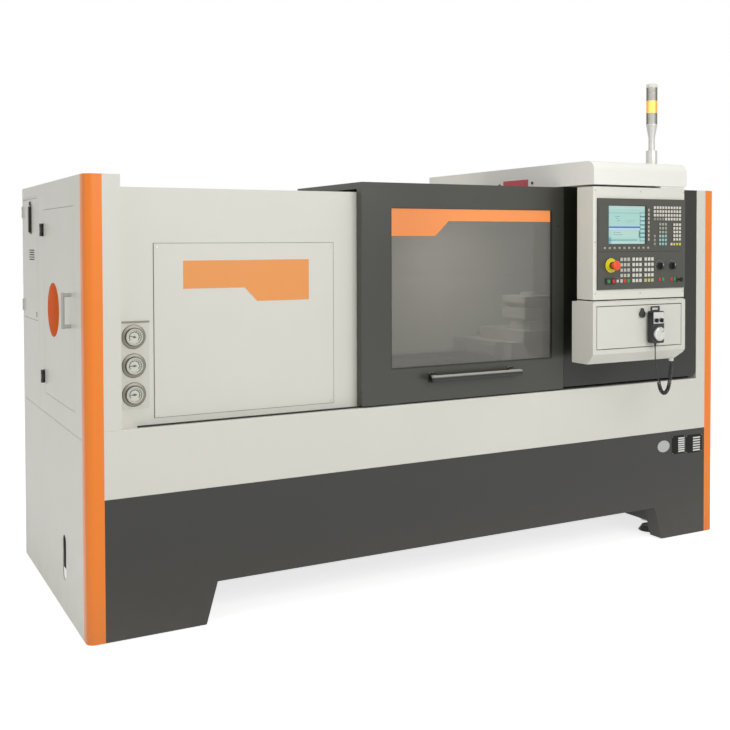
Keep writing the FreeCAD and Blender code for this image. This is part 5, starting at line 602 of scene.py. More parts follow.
GROUND = {
    "ground_steel": ((200, 200, 200), 0.3, 0.1, {}, {"Metallic": 1.0}),
    "zinc_steel": ((196, 196, 188), 0.42, 0.05, {"Along": (6, 6, 6), "Tone": 0.35}, {"Metallic": 1.0}),
    "bright_chrome": ((215, 216, 218), 0.16, 0.02, {"Along": (8, 8, 8), "Tone": 0.06}, {"Metallic": 1.0}),
    "dark_steel": ((74, 74, 72), 0.34, 0.03, {"Along": (8, 8, 8)}, {"Metallic": 0.8}),
    "satin_aluminium": ((206, 206, 202), 0.34, 0.04, {"Along": (9, 9, 9)}, {"Metallic": 0.85}),
    "post_metal": ((200, 200, 195), 0.4, 0.03, {"Along": (9, 9, 9)}, {"Metallic": 0.6}),
    "bezel_metal": ((176, 175, 166), 0.3, 0.02, {"Tone": 0.3}, {"Metallic": 0.7}),
    "disc_metal": ((168, 170, 170), 0.35, 0.02, {}, {"Metallic": 0.8}),
    "dark_plate": ((14, 14, 13), 0.55, 0.05, {}, {"Specular IOR Level": 0.2}),
    "pale_field": ((226, 227, 221), 0.5, 0.02, {"Tone": 0.05}),
}
MOULDED = {
    "control_face": ((72, 72, 66), 0.5, 0.15),
    "black_plastic": ((36, 36, 37), 0.42, 0.15),
    "grey_plastic": ((178, 178, 174), 0.4, 0.1),
    "red_plastic": ((206, 45, 30), 0.3, 0.03),
    "green_plastic": ((45, 140, 74), 0.3, 0.03),
    "stop_red": ((236, 82, 30), 0.32, 0.03),
    "stop_yellow": ((222, 214, 28), 0.35, 0.03),
    "film_orange": ((246, 150, 82), 0.45, 0.02),
    "rubber": ((28, 28, 29), 0.38, 0.05, {"Grain Size": 1500.0}),
    # This grey paints the shade along the service cover's edges, on a thin seal strip.
    "seal_grey": ((116, 115, 106), 0.6, 0.1),
    # This black is painted shade, for the gap between the control box and the storage box.
    "gap_shade_black": ((20, 20, 18), 0.8, 0.05),
    # The door rails are black as painted shade in the gap under the sliding door.
    "rail_black_painted_shade": ((24, 24, 22), 0.6, 0.05),
    "needle_paint": ((18, 18, 18), 0.4, 0.02),
    "dial_face": ((224, 226, 214), 0.4, 0.02),
    "pale_print": ((170, 171, 164), 0.45, 0.02),
}
for group, table in ((sprayed, SPRAYED), (ground, GROUND), (moulded, MOULDED)):
    for name, values in table.items():
        finish(name, group, *values)

glass = new_material("window_glass", {"Transmission Weight": 0.68, "IOR": 1.45})
haze = glass.out("TexNoise", [("Vector", glass.place()), ("Scale", 2.5), ("Detail", 1.0)])
glass.shade(Base_Color=glass.mixed(haze, colour(154, 152, 148), colour(163, 161, 154)),
            Roughness=glass.out("MapRange", [(0, haze), (3, 0.03), (4, 0.08)]))
finishes["window_glass"] = glass.material
print("finishes:", sorted(finishes))

# %% [markdown]
# Every solid that keeps its own shape gets the finish that the model's record names for it. A few take
# another one than their neighbours: the sliding door is sprayed in a glossier dark paint than the plinth, the
# front sheet right of the window takes a darker copy of it as painted shade under the control unit, the arm
# takes a lighter copy of the white paint as painted light, and the door rails are black as painted shade
# under the door. Some solids carry two colours: a second coat goes over the part that stands proud.

# %% Second coats
def coated(name, group, values):
    """Lays one more coat over a finish; the group takes the finish's colour as its paint."""
    here = Nodes(finishes[name].node_tree)
    shader = here.tree.nodes["Principled BSDF"].inputs
    paint = shader["Base Color"].links[0].from_socket
    coat = here.node("Group", [("Paint", paint), *values.items()], node_tree=group.tree)
    for result in coat.outputs:
        here.wire(shader["Base Color" if result.name == "Color" else result.name], result)


# The gauges' plate is sprayed white and their cases are nickel; both are one solid, so depth tells them apart.
cases = node_group("gauge_case_coat", {"Paint": "Color", "Flange Color": "Color", "Rim Color": "Color",
                                       "Plate Depth": "Float", "Rim Depth": "Float"},
                   {"Color": "Color", "Metallic": "Float"})
depth_here = cases.node("SeparateXYZ", [(0, cases.place())]).outputs[1]
on_case = cases.math("LESS_THAN", depth_here, cases.given["Plate Depth"])
on_rim = cases.math("LESS_THAN", depth_here, cases.given["Rim Depth"])
nickel = cases.mixed(on_rim, cases.given["Flange Color"], cases.given["Rim Color"])
cases.wire(cases.result["Color"], cases.mixed(on_case, cases.given["Paint"], nickel))
cases.wire(cases.result["Metallic"], on_case)
coated("gauge_case", cases, {"Flange Color": colour(122, 119, 110), "Rim Color": colour(150, 148, 140),
                             "Plate Depth": at(0, 44.6, 0).y, "Rim Depth": at(0, 38.6, 0).y})

# A hinge, a pull or a lock that is one solid with its sheet shows its own colour where it stands proud.
fittings = node_group("fitting_coat", {"Paint": "Color", "Fitting Color": "Color", "Face": "Float",
                                       "Middle": "Float", "Half Width": "Float", "Lowest": "Float"},
                      {"Color": "Color"})
here = fittings.node("SeparateXYZ", [(0, fittings.place())]).outputs
off_middle = fittings.math("ABSOLUTE", fittings.math("SUBTRACT", here[1], fittings.given["Middle"]), 0.0)
inside = fittings.math("LESS_THAN", off_middle, fittings.given["Half Width"])
proud = fittings.math("LESS_THAN", here[0], fittings.given["Face"])
above = fittings.math("GREATER_THAN", here[2], fittings.given["Lowest"])
there = fittings.math("MULTIPLY", fittings.math("MULTIPLY", inside, proud), above)
fittings.wire(fittings.result["Color"],
              fittings.mixed(there, fittings.given["Paint"], fittings.given["Fitting Color"]))
HINGE_BLACK = colour(34, 34, 30)
PULL_GREY = colour(196, 195, 186)
LEFT_FACE = -0.6
for name, tint, y, half_width, lowest in (("hinged_sheet", HINGE_BLACK, 697, 15.5, 0),
                                          ("side_door_sheet", HINGE_BLACK, 697, 15.5, 0),
                                          ("side_door_sheet", PULL_GREY, 214, 12, 0),
                                          ("cabinet_door_sheet", HINGE_BLACK, 970, 18, 1380)):
    coated(name, fittings, {"Fitting Color": tint, "Face": at(LEFT_FACE, 0, 0).x, "Middle": at(0, y, 0).y,
                            "Half Width": half_width * MM, "Lowest": lowest * MM})

# The bar handle is black, with a pale painted highlight where its round form faces up, standing in for the lamp
# mirrored along its top.
handle = Nodes(finishes["handle_black_painted_highlight"].node_tree)
paint = handle.tree.nodes["Principled BSDF"].inputs["Base Color"]
upward = handle.node("SeparateXYZ", [(0, handle.node("NewGeometry").outputs["Normal"])]).outputs["Z"]
painted_highlight = handle.out("MapRange", [("Value", upward), ("From Min", 0.25), ("From Max", 0.75)])
handle.wire(paint, handle.mixed(painted_highlight, paint.links[0].from_socket, colour(176, 176, 168)))

# %% Dress the solids
own_finish = {
    "door_handle": "handle_black_painted_highlight", "door_rails": "rail_black_painted_shade", "sliding_door": "door_paint",
    "fixed_panel": "panel_paint_painted_shade", "gauge_needle_1": "needle_paint", "gauge_needle_2": "needle_paint",
    "gauge_needle_3": "needle_paint", "flap_lock": "dark_steel", "key_switch": "dark_steel",
    "pendant_wheel": "satin_aluminium", "pressure_gauges": "gauge_case", "side_door": "side_door_sheet",
    "side_panels": "hinged_sheet", "cabinet_door": "cabinet_door_sheet", "carriage": "pale_casting",
    "cross_slide": "pale_casting", "turret_head": "pale_casting", "estop_button": "stop_red",
    "control_arm": "arm_white_painted_light", "storage_flap": "bright_white", "storage_box": "bright_white",
}
for part in frame["record"]["subparts"]:
    solid = nodes[part["node"]]
    solid.data.materials.clear()
    solid.data.materials.append(finishes[own_finish.get(part["node"], part["material_slot"])])
hand_unit_cord.data.materials.clear()
hand_unit_cord.data.materials.append(finishes["rubber"])

# %% [markdown]
# ## Plates and stripes
# The coloured plates are thin sheet, glued or riveted on. A plate is only its outline pushed forward by its
# thickness, with the front rim softened so that it catches a line of light. Its back lies a hair in front of
# the sheet that carries it.

# %% Plates, stripes and strips of painted shade that face the front
COVER_LOW, COVER_HIGH = 746.0, 1353.0
ON_COVER, ON_SHEETS, ON_DOOR, ON_APRON = 44.9, 46.9, 2.95, -0.05
# Thin grey strips round the service cover stand for a rubber seal and paint the shade of the cover's edges.
COVER_SHADE_LINE = (ON_SHEETS, 0.8, "seal_grey", 0.2, "machine", "rubber")
badge_outline = [(354, 1193), (584, 1193), (633, 1142), (840, 1142), (840, 1292), (354, 1292)]
stripe_outline = [(1168, 1378), (1371, 1378), (1433.5, 1437), (1940, 1437), (1940, 1486), (1168, 1486)]
oval = [(2586 + 36.5 * math.cos(math.radians(5 * k)), 424 + 26.5 * math.sin(math.radians(5 * k)))
        for k in range(72)]
FRONT_PLATES = (
    ("cover_badge", badge_outline, ON_COVER, 1.2, "badge_paint", 0.4, "machine", "orange_paint"),
    # A grey strip along the top of the gauges' recess is painted shade of the recess's upper edge.
    ("gauge_shade_strip", box_outline(133, 231, 1079.5, 1086), ON_SHEETS, 4, "shade_strip_grey", 0.4, "machine", "white_paint"),
    ("cover_seal_left", box_outline(246.2, 248.9, COVER_LOW, COVER_HIGH), *COVER_SHADE_LINE),
    ("cover_seal_right", box_outline(942.1, 944.0, COVER_LOW, COVER_HIGH), *COVER_SHADE_LINE),
    ("cover_seal_top", box_outline(246.2, 944.0, COVER_HIGH + 0.1, COVER_HIGH + 1.6), *COVER_SHADE_LINE),
    ("cover_seal_bottom", box_outline(246.2, 944.0, COVER_LOW - 1.6, COVER_LOW - 0.1), *COVER_SHADE_LINE),
    ("window_stripe", stripe_outline, ON_DOOR, 0.6, "film_orange", 0.2, "sliding_door", "orange_paint"),
    ("plinth_disc", oval, ON_APRON, 0.9, "disc_metal", 0.3, "machine", "zinc_steel"),
)
for name, outline, y, thick, paint_name, edge, body, slot in FRONT_PLATES:
    fit(front_plate(name, outline, y, thick, finishes[paint_name], edge), body)

# %% The control unit's band of painted shade, and plates that face left
unit_low, unit_high = [drawing_point(corner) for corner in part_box("control_box")]
print("control box in the drawing:", [round(v, 1) for v in unit_low], [round(v, 1) for v in unit_high])
# A black band round the control box, where it meets the storage box below, is painted shade of the gap between
# them.
SHADE_BAND_LOW, SHADE_BAND_HIGH = 1110.2, 1115.2
SHADE_BAND_PROUD = 0.5
shade_band_outline = box_outline(unit_low[0] - SHADE_BAND_PROUD, unit_high[0] + SHADE_BAND_PROUD, SHADE_BAND_LOW, SHADE_BAND_HIGH)
shade_band_depth = unit_high[1] - unit_low[1] + 2 * SHADE_BAND_PROUD
fit(front_plate("unit_shade_band", shade_band_outline, unit_high[1] + SHADE_BAND_PROUD, shade_band_depth, finishes["gap_shade_black"], 0.2),
    "control_unit")
bore_cover = turned("bore_cover", [(0, 2.2), (99, 2.2), (101.5, 1.4), (102, 0.05), (0, 0.05)], at(0, 520, 1103),
                    (-1, 0, 0), finishes["cover_orange"], 72)
fit(bore_cover, "side_door")
ARM_SIDE, END_SIDE = 1998.9, 69.8
for name, outline, x, thick, paint_name in (
        ("arm_plate", box_outline(231, 416, 1595, 1630), ARM_SIDE, 1.5, "red_plate_paint"),
        ("slot_plate", box_outline(341, 384, 190, 258), END_SIDE, 1.0, "yellow_paint")):
    fit(left_plate(name, outline, x, thick, finishes[paint_name]), "machine")

# %% [markdown]
# Beside the right foot the plinth carries a pale oval disc and two dark rating plates. They stay blank here: a
# dark anodised sheet with rows of empty pale fields, which is how such a plate looks from a few steps away.

# %% Rating plates
PLATES = ((2637, 2718, 382, 465.5, 2676, 2715, 7), (2724, 2825, 378, 461.5, 2768, 2813, 6))
PLATE_MARGIN = 7
FIELD_HEIGHT = 6.6
for k, (x0, x1, z0, z1, field_left, field_right, rows) in enumerate(PLATES):
    fit(front_plate(f"rating_plate_{k + 1}", rounded_outline(x0, x1, z0, z1, 2), ON_APRON, 0.6,
                    finishes["dark_plate"], 0.1), "machine")
    for row in range(rows):
        low = z0 + PLATE_MARGIN + row * (z1 - z0 - 2 * PLATE_MARGIN) / rows
        outline = rounded_outline(field_left, field_right, low, low + FIELD_HEIGHT, 0.6)
        fit(front_plate(f"rating_field_{k + 1}_{row + 1}", outline, ON_APRON - 0.65, 0.2,
                        finishes["pale_field"], 0.05), "machine")

# %% [markdown]
# ## Geometry Nodes for what repeats
# Screws, keys and dial marks repeat by the dozen. Each kind is one small node tree that puts a form on given
# points. The points are a plain mesh whose attributes say how wide, how high and what colour each one is, so
# one tree serves every panel.

# %% Trees that grow on points
FIELDS = {"FLOAT": "value", "FLOAT_VECTOR": "vector", "FLOAT_COLOR": "color"}


def grower(name, inputs):
    """A Geometry Nodes tree that grows something on points, in a given material."""
    sockets = {"Geometry": "Geometry", **inputs, "Material": "Material"}
    return node_group(name, sockets, {"Geometry": "Geometry"}, "Geometry")


def grow_on_points(tree, form, *links):
    """Puts a form on every point, makes it real and gives it the material."""
    points_here = tree.out("GeometryNodeMeshToPoints", [("Mesh", tree.given["Geometry"])])
    placed = tree.out("GeometryNodeInstanceOnPoints", [("Points", points_here), ("Instance", form), *links])
    real = tree.out("GeometryNodeRealizeInstances", [(0, placed)])
    done = tree.out("GeometryNodeSetMaterial", [("Geometry", real), ("Material", tree.given["Material"])])
    tree.wire(tree.result[0], done)


def attribute(tree, name, kind="FLOAT"):
    return tree.out("GeometryNodeInputNamedAttribute", [(0, name)], data_type=kind)


def grown(name, points, attributes, tree, inputs, material):
    """Runs a tree on points and keeps what it makes as a plain mesh."""
    mesh = bpy.data.meshes.new(name)
    mesh.from_pydata([tuple(p) for p in points], [], [])
    for label, (kind, values) in attributes.items():
        flat = values if kind == "FLOAT" else [number for value in values for number in value]
        mesh.attributes.new(label, kind, "POINT").data.foreach_set(FIELDS[kind], flat)
    seed = bpy.data.objects.new(name + "_points", mesh)
    bpy.context.scene.collection.objects.link(seed)
    modifier = seed.modifiers.new("grow", "NODES")
    modifier.node_group = tree.tree
    identifiers = {item.name: item.identifier for item in tree.tree.interface.items_tree
                   if item.in_out == "INPUT"}
    for label, value in {**inputs, "Material": material}.items():
        modifier[identifiers[label]] = value
    seed.update_tag()
    bpy.context.view_layer.update()
    result = bpy.data.meshes.new_from_object(seed.evaluated_get(bpy.context.evaluated_depsgraph_get()))
    result.name = name
    seed.modifiers.remove(modifier)
    bpy.data.objects.remove(seed)
    return new_object(name, result, material)


print("tree builder ready")

# %% [markdown]
# A key cap is a low block whose front face is drawn in a little, so that light runs round its rim. The block
# is made once at unit size and every point stretches it to its own key.

# %% A tree for key caps
caps = grower("key_caps", {"Rise": 0.0022, "Crown": 0.86})
block = caps.out("GeometryNodeMeshCube")
normal = caps.out("GeometryNodeInputNormal")
facing = caps.out("FunctionNodeCompare", [(4, normal), (5, (0, -1, 0)), (12, 0.1)], data_type="VECTOR",
                  operation="EQUAL")
raised = caps.node("GeometryNodeExtrudeMesh", [("Mesh", block), ("Selection", facing),
                                               ("Offset Scale", 0.35)]).outputs
crowned = caps.out("GeometryNodeScaleElements", [("Geometry", raised["Mesh"]), ("Selection", raised["Top"]),
                                                 ("Scale", caps.given["Crown"])])
stretch = caps.out("ShaderNodeCombineXYZ", [(0, attribute(caps, "cap_width")), (1, caps.given["Rise"]),
                                            (2, attribute(caps, "cap_height"))])
grow_on_points(caps, crowned, ("Scale", stretch))


def cap_field(name, boxes, inputs, material):
    """Caps on the control unit, one for each box: its middle, width and height in mm, and its colour."""
    middles, widths, heights, tints = zip(*boxes)
    attributes = {"cap_width": ("FLOAT", [width * MM for width in widths]),
                  "cap_height": ("FLOAT", [height * MM for height in heights]),
                  "key_colour": ("FLOAT_COLOR", [colour(*tint) for tint in tints])}
    piece = grown(name, [at(*middle) for middle in middles], attributes, caps, inputs, material)
    return fit(piece, "control_unit")


# %% Keys
key_plastic = new_material("key_caps", {})
key_colour = key_plastic.node("Attribute", attribute_name="key_colour").outputs["Color"]
key_skin = key_plastic.node("Group", [("Color", key_colour), ("Roughness", 0.4), ("Tone", 0.12)],
                            node_tree=moulded.tree).outputs
key_plastic.shade(Base_Color=key_skin["Color"], Roughness=key_skin["Roughness"])

X0, Z0 = 2020.0, 1156.5
PANEL_FRONT = -206.0
KEY_GAP = 1.2
CREAM = (218, 215, 204)
BEIGE = (196, 191, 174)
STONE = (190, 188, 176)
OLIVE = (168, 166, 150)
TAUPE = (150, 145, 140)
GREY_GREEN = (158, 164, 150)
TEAL = (150, 196, 190)
YELLOW = (206, 204, 84)
STRAW = (196, 190, 140)
RED = (208, 52, 36)
GREEN = (48, 150, 78)
# Pitch across and up, width and height of a key with its gap; then left, low, columns, rows and colour.
KEY_GRIDS = {
    (14.0, 17.5, 9.0, 12.5): [(268.5, 199.9, 1, 8, BEIGE)],
    (26.2, 14.0, 13.0, 9.0): [(28.0, 166.5, 10, 1, OLIVE)],
    (16.0, 16.1, 12.5, 12.0): [(300.5, 285.5, 4, 1, TAUPE), (364.5, 285.5, 6, 1, CREAM),
        (300.5, 301.6, 10, 3, CREAM)],
    (16.0, 16.6, 12.5, 12.0): [(300.5, 180.7, 1, 3, TAUPE), (331.5, 180.7, 3, 3, TEAL),
        (331.5, 230.5, 3, 3, GREY_GREEN)],
    (16.0, 16.2, 12.5, 12.0): [(396.5, 179.4, 1, 1, CREAM), (412.5, 179.4, 3, 1, YELLOW)],
    (16.0, 15.7, 12.5, 12.0): [(412.5, 199.7, 3, 5, CREAM)],
    (18.8, 22.2, 15.0, 15.0): [(117.5, 49.4, 3, 4, STONE), (117.5, 27.2, 1, 1, STONE),
        (136.3, 27.2, 1, 1, RED), (155.1, 27.2, 1, 1, GREEN), (183.0, 27.2, 3, 5, CREAM),
        (249.5, 49.4, 3, 4, CREAM), (249.5, 27.2, 3, 1, STRAW)],
    (14.0, 14.0, 12.0, 12.0): [(97.9, 28.5, 1, 1, CREAM)],
    (18.5, 17.0, 13.5, 15.0): [(329.5, 30.0, 1, 1, RED), (348.0, 30.0, 1, 1, GREEN), (397.0, 30.0, 1, 1, RED),
        (415.5, 30.0, 1, 1, GREEN)],
}
keys = []
for (pitch_x, pitch_z, width, height), grids in KEY_GRIDS.items():
    for left, low, columns, rows, tint in grids:
        for column in range(columns):
            for row in range(rows):
                x, z = X0 + left + column * pitch_x + width / 2, Z0 + low + row * pitch_z + height / 2
                keys.append(((x, PANEL_FRONT - 0.7, z), width - KEY_GAP, height - KEY_GAP, tint))
cap_field("key_caps", keys, {"Rise": 0.0022}, key_plastic.material)
print(len(keys), "keys")

# %% [markdown]
# ## Screws
# A cap screw is a short turned head with a hexagonal socket. The tree turns a circle into a head: a disc is
# pushed out, its top is drawn in for the rim, and the middle is pushed back down for the socket.

# %% Screw heads
screws = grower("screw_heads", {"Radius": 0.004, "Head": 0.0025})


def pushed(mesh, distance, top=None):
    """Pushes a face out and gives back the outputs for the mesh and its new top."""
    chosen = [] if top is None else [("Selection", top)]
    return screws.node("GeometryNodeExtrudeMesh", [("Mesh", mesh), *chosen, ("Offset Scale", distance)]).outputs


def drawn_in(form, share):
    """The same mesh with its top drawn in."""
    return screws.out("GeometryNodeScaleElements", [("Geometry", form["Mesh"]), ("Selection", form["Top"]),
                                                    ("Scale", share)])


disc_face = screws.out("GeometryNodeMeshCircle", [("Vertices", 24), ("Radius", 1.0)], fill_type="NGON")
head = pushed(disc_face, 0.75)
rim = pushed(head["Mesh"], 0.25, head["Top"])
inset = pushed(drawn_in(rim, 0.88), 0.0, rim["Top"])
socket = pushed(drawn_in(inset, 0.55), -0.6, inset["Top"])
way = screws.out("FunctionNodeAlignRotationToVector", [("Vector", attribute(screws, "faces", "FLOAT_VECTOR"))],
                 axis="Z")
stretch = screws.out("ShaderNodeCombineXYZ", [(0, screws.given["Radius"]), (1, screws.given["Radius"]),
                                              (2, screws.given["Head"])])
grow_on_points(screws, socket["Mesh"], ("Rotation", way), ("Scale", stretch))

FRONT, LEFT = (0, -1, 0), (-1, 0, 0)
BOX_FACE, HINGE_FACE, RIVET_FACE = -198.1, -3.0, -0.6
box_frame = [(x, BOX_FACE, z) for x in (2012, 2256, 2500) for z in (1140, 1563)]
box_frame += [(x, BOX_FACE, 1352) for x in (2011.5, 2505)]
cover_corners = [(x, ON_COVER, z) for x in (260, 931) for z in (757, 1342)]
arm_holes = [(ARM_SIDE, y, 1612.5) for y in (201, 445)]
hinge_holes = [(HINGE_FACE, y, z + dz) for y, heights_of in ((712, (832, 1406)), (1163, (1090, 1486)))
               for z in heights_of for dz in (-17, 17)]
plate_rivets = [(x, RIVET_FACE, z) for x0, x1, z0, z1, *rest in PLATES
                for x in (x0 + 4, x1 - 4) for z in (z0 + 4, z1 - 4)]
for name, places, faces, body, radius, head_height, metal in (
        ("box_screws", box_frame, FRONT, "control_unit", 3.2, 1.8, "zinc_steel"),
        ("cover_screws", cover_corners, FRONT, "machine", 4.2, 2.2, "zinc_steel"),
        ("arm_screws", arm_holes, LEFT, "machine", 6.5, 3.5, "black_plastic"),
        ("hinge_screws", hinge_holes, LEFT, "machine", 3.4, 2.0, "zinc_steel"),
        ("plate_rivets", plate_rivets, FRONT, "machine", 1.6, 0.8, "zinc_steel")):
    row = grown(name, [at(*p) for p in places], {"faces": ("FLOAT_VECTOR", [faces] * len(places))}, screws,
                {"Radius": radius * MM, "Head": head_height * MM}, finishes[metal])
    fit(row, body)

# %% [markdown]
# ## The display
# A lit screen is only fields of colour: a pale ground, a dark bar, a column of soft keys. They are laid over
# each other as thin tiles with the same tree as the key caps, because a tile is a very flat cap. A tile glows
# a little in its own colour, as a lit screen does.

# %% Screen picture
lit = new_material("screen_glow", {"Emission Strength": 0.1, "Roughness": 0.3})
tile_colour = lit.node("Attribute", attribute_name="key_colour").outputs["Color"]
lit.shade(Base_Color=tile_colour, Emission_Color=tile_colour)
SCREEN_PLANE = -203.0
LAYER = 0.12
# Left, right, low and high on the screen, colour, layer.
TILES = [(56.5, 256, 187, 345, (162, 204, 198), 0), (57, 256, 331, 344.5, (176, 210, 203), 1),
         (57, 232, 314.5, 316, (104, 158, 162), 1), (60, 232, 253.5, 259.5, (72, 100, 172), 1),
         (60, 232, 245.5, 253.5, (182, 206, 222), 1), (76, 226, 214, 240, (174, 208, 200), 1),
         (57, 214, 202, 205, (70, 138, 156), 1), (74, 250, 188, 197, (184, 212, 208), 1),
         (57, 72, 187, 216, (116, 178, 186), 1), (222, 256, 214, 242, (122, 184, 190), 1)]
TILES += [(92 + 6 * (k % 3), 118 - 9 * (k % 2), 300 - 8.5 * k, 301.6 - 8.5 * k, (92, 136, 140), 2)
          for k in range(3)]
TILES += [(150, 200 - 14 * (k % 2), 284 - 7 * k, 285.2 - 7 * k, (132, 172, 172), 2) for k in range(2)]
TILES += [(82, 124 + 10 * k, 234 - 9 * k, 235.6 - 9 * k, (106, 140, 146), 2) for k in range(2)]
for k in range(7):
    middle = 309.5 - 17.2 * k
    TILES.append((228, 256, middle - 8, middle + 8, (36, 84, 96), 2))
    TILES.append((230, 255.2, middle - 6, middle + 6, (164, 206, 204), 3))
tiles = [((X0 + (x0 + x1) / 2, SCREEN_PLANE - 0.16 - LAYER * layer, Z0 + (z0 + z1) / 2), x1 - x0, z1 - z0, tint)
         for x0, x1, z0, z1, tint, layer in TILES]
cap_field("screen_tiles", tiles, {"Rise": 0.0001, "Crown": 1.0}, lit.material)

# %% [markdown]
# Frames, collars and dial rims are all a ring: an outer outline, an inner outline and a thickness. Both
# outlines have as many points, so a frame can be square outside and round inside.

# %% Rings and frames
UNIT, BLACK, GREY = "control_unit", "black_plastic", "grey_plastic"
# Where the backs of rings and covers lie, a hair in front of what carries them.
ON_PANEL, ON_COLLAR, ON_SCREEN, ON_STOP = -206.02, -206.05, -203.05, -209.03
ON_HAND_UNIT, ON_DIAL, ON_CASE = -237.02, 35.95, 29.95
card_outline = rounded_outline(X0 + 5, X0 + 51, Z0 + 206, Z0 + 344, 2, 3)
fit(front_plate("card_cover", card_outline, ON_PANEL, 0.9, finishes["control_face"]), UNIT)
STOP = (2087, 1256)
STOP_FILM = 0.7
# Name, outer and inner outline, back, thickness, finish, edge, body, slot.
RINGS = [
    ("screen_frame", rounded_outline(X0 + 56.1, X0 + 263.9, Z0 + 186.6, Z0 + 346.4, 2, 2),
     rounded_outline(X0 + 57.2, X0 + 255.5, Z0 + 187.6, Z0 + 344.5, 2, 2), ON_SCREEN, 2.6, BLACK, 0.3, UNIT,
     BLACK),
    ("stop_disc", circle(*STOP, 29.8), circle(*STOP, 14.8), ON_STOP, STOP_FILM, "stop_yellow", 0.3, UNIT, GREY),
    ("stop_sleeve", circle(*STOP, 15.4), circle(*STOP, 11.4), ON_STOP - STOP_FILM - 0.02, 5.2, "stop_yellow",
     0.4, UNIT, GREY),
    # The window's rubber gasket is drawn wider on its right side, as painted shade of the window's right
    # reveal.
    ("window_gasket_and_shade", rounded_outline(1167.3, 1950.7, 860.3, 1487.7, 4, 4),
     rounded_outline(1171.5, 1940.5, 866, 1485, 3, 4), ON_DOOR - 0.05, 2.4, "rubber", 0.3, "sliding_door",
     "rubber"),
    ("hand_unit_hook", rounded_outline(2276, 2326, 1062, 1084, 3, 4),
     rounded_outline(2284, 2318, 1068, 1078, 2, 4), ON_HAND_UNIT, 2.6, BLACK, 0.3, "storage_flap", BLACK),
]
for k, x in enumerate((2071.0, 2097.0)):
    RINGS.append((f"button_frame_{k + 1}", squircle(x, 1191, 12.8), circle(x, 1191, 8.6), ON_COLLAR, 5.2,
                  BLACK, 0.3, UNIT, BLACK))
GAUGES = (1032.0, 932.4, 832.6)
GAUGE_X = 175.5
for k, z in enumerate(GAUGES):
    RINGS += [(f"gauge_dial_{k + 1}", circle(GAUGE_X, z, 23.7), circle(GAUGE_X, z, 3.6), ON_DIAL, 0.4,
               "dial_face", 0.1, "machine", GREY),
              (f"gauge_bezel_{k + 1}", circle(GAUGE_X, z, 28.7), circle(GAUGE_X, z, 24.2), ON_CASE, 0.3,
               "bezel_metal", 0.1, "machine", "bright_chrome")]
for name, outer, inner, y, thick, paint_name, edge, body, slot in RINGS:
    fit(ring_plate(name, outer, inner, y, thick, finishes[paint_name], edge), body)

# %% [markdown]
# ## Dials
# The pressure gauges and the two override knobs have scales. A scale is short strokes on an arc. The tree
# counts along a line of points, bends the line into the arc by each point's number, and sets a stroke on every
# point that looks outwards. The whole arc is then set down at each dial's centre.

# %% A tree for scales
arc = grower("dial_scale", {"Count": 11, "Radius": 0.02, "Start": -2.4, "Sweep": 4.8, "Stroke Length": 0.003,
                            "Stroke Width": 0.001, "Thickness": 0.0002})
line_of_points = arc.out("GeometryNodeMeshLine", [("Count", arc.given["Count"])])
number = arc.out("GeometryNodeInputIndex")
gaps = arc.out("ShaderNodeMath", [(0, arc.given["Count"]), (1, 1.0)], operation="SUBTRACT")
part_way = arc.out("ShaderNodeMath", [(0, number), (1, gaps)], operation="DIVIDE")
angle = arc.out("ShaderNodeMath", [(0, part_way), (1, arc.given["Sweep"]), (2, arc.given["Start"])],
                operation="MULTIPLY_ADD")
across = arc.out("ShaderNodeMath", [(0, angle)], operation="SINE")
upward = arc.out("ShaderNodeMath", [(0, angle)], operation="COSINE")
spoke = arc.out("ShaderNodeCombineXYZ", [(0, across), (2, upward)])
on_arc = arc.out("ShaderNodeVectorMath", [(0, spoke), (3, arc.given["Radius"])], operation="SCALE")
bent = arc.out("GeometryNodeSetPosition", [("Geometry", line_of_points), ("Position", on_arc)])
stops = arc.out("GeometryNodeMeshToPoints", [("Mesh", bent)])
stroke = arc.out("GeometryNodeMeshCube")
stroke_size = arc.out("ShaderNodeCombineXYZ", [(0, arc.given["Stroke Width"]), (1, arc.given["Thickness"]),
                                               (2, arc.given["Stroke Length"])])
lean = arc.out("ShaderNodeCombineXYZ", [(1, angle)])
strokes = arc.out("GeometryNodeInstanceOnPoints", [("Points", stops), ("Instance", stroke), ("Rotation", lean),
                                                   ("Scale", stroke_size)])
grow_on_points(arc, strokes)

# %% Scales and pointers
DIAL_PRINT, PANEL_PRINT, WHEEL_PRINT, KNOB_FACE = 35.45, -206.1, -272.42, -228.02
gauge_middles = [(GAUGE_X, DIAL_PRINT, z) for z in GAUGES]
KNOBS = ((2357.0, "spindle_override"), (2425.5, "feed_override"))
override_middles = [(x, PANEL_PRINT, 1250) for x, body in KNOBS]
wheel_middle = [(2297, WHEEL_PRINT, 970)]
# Name, middles, body, slot, finish, count, radius, start and sweep in degrees from the top, length, width.
for name, middles, body, slot, paint_name, count, radius, start, sweep, length, width in (
        ("gauge_arcs", gauge_middles, "machine", BLACK, "needle_paint", 55, 17.0, -125, 250, 2.2, 1.6),
        ("gauge_strokes", gauge_middles, "machine", BLACK, "needle_paint", 11, 19.4, -125, 250, 3.4, 0.9),
        ("override_strokes", override_middles, UNIT, GREY, "pale_print", 11, 24.0, -120, 240, 4.0, 1.6),
        ("override_dots", override_middles, UNIT, GREY, BLACK, 13, 30.5, -120, 240, 3.4, 3.0),
        ("wheel_strokes", wheel_middle, "pendant_wheel", BLACK, "needle_paint", 50, 26.4, 0, 352.8, 2.6, 0.5)):
    inputs = {"Count": count, "Radius": radius * MM, "Start": math.radians(start), "Sweep": math.radians(sweep),
              "Stroke Length": length * MM, "Stroke Width": width * MM}
    fit(grown(name, [at(*middle) for middle in middles], {}, arc, inputs, finishes[paint_name]), body)
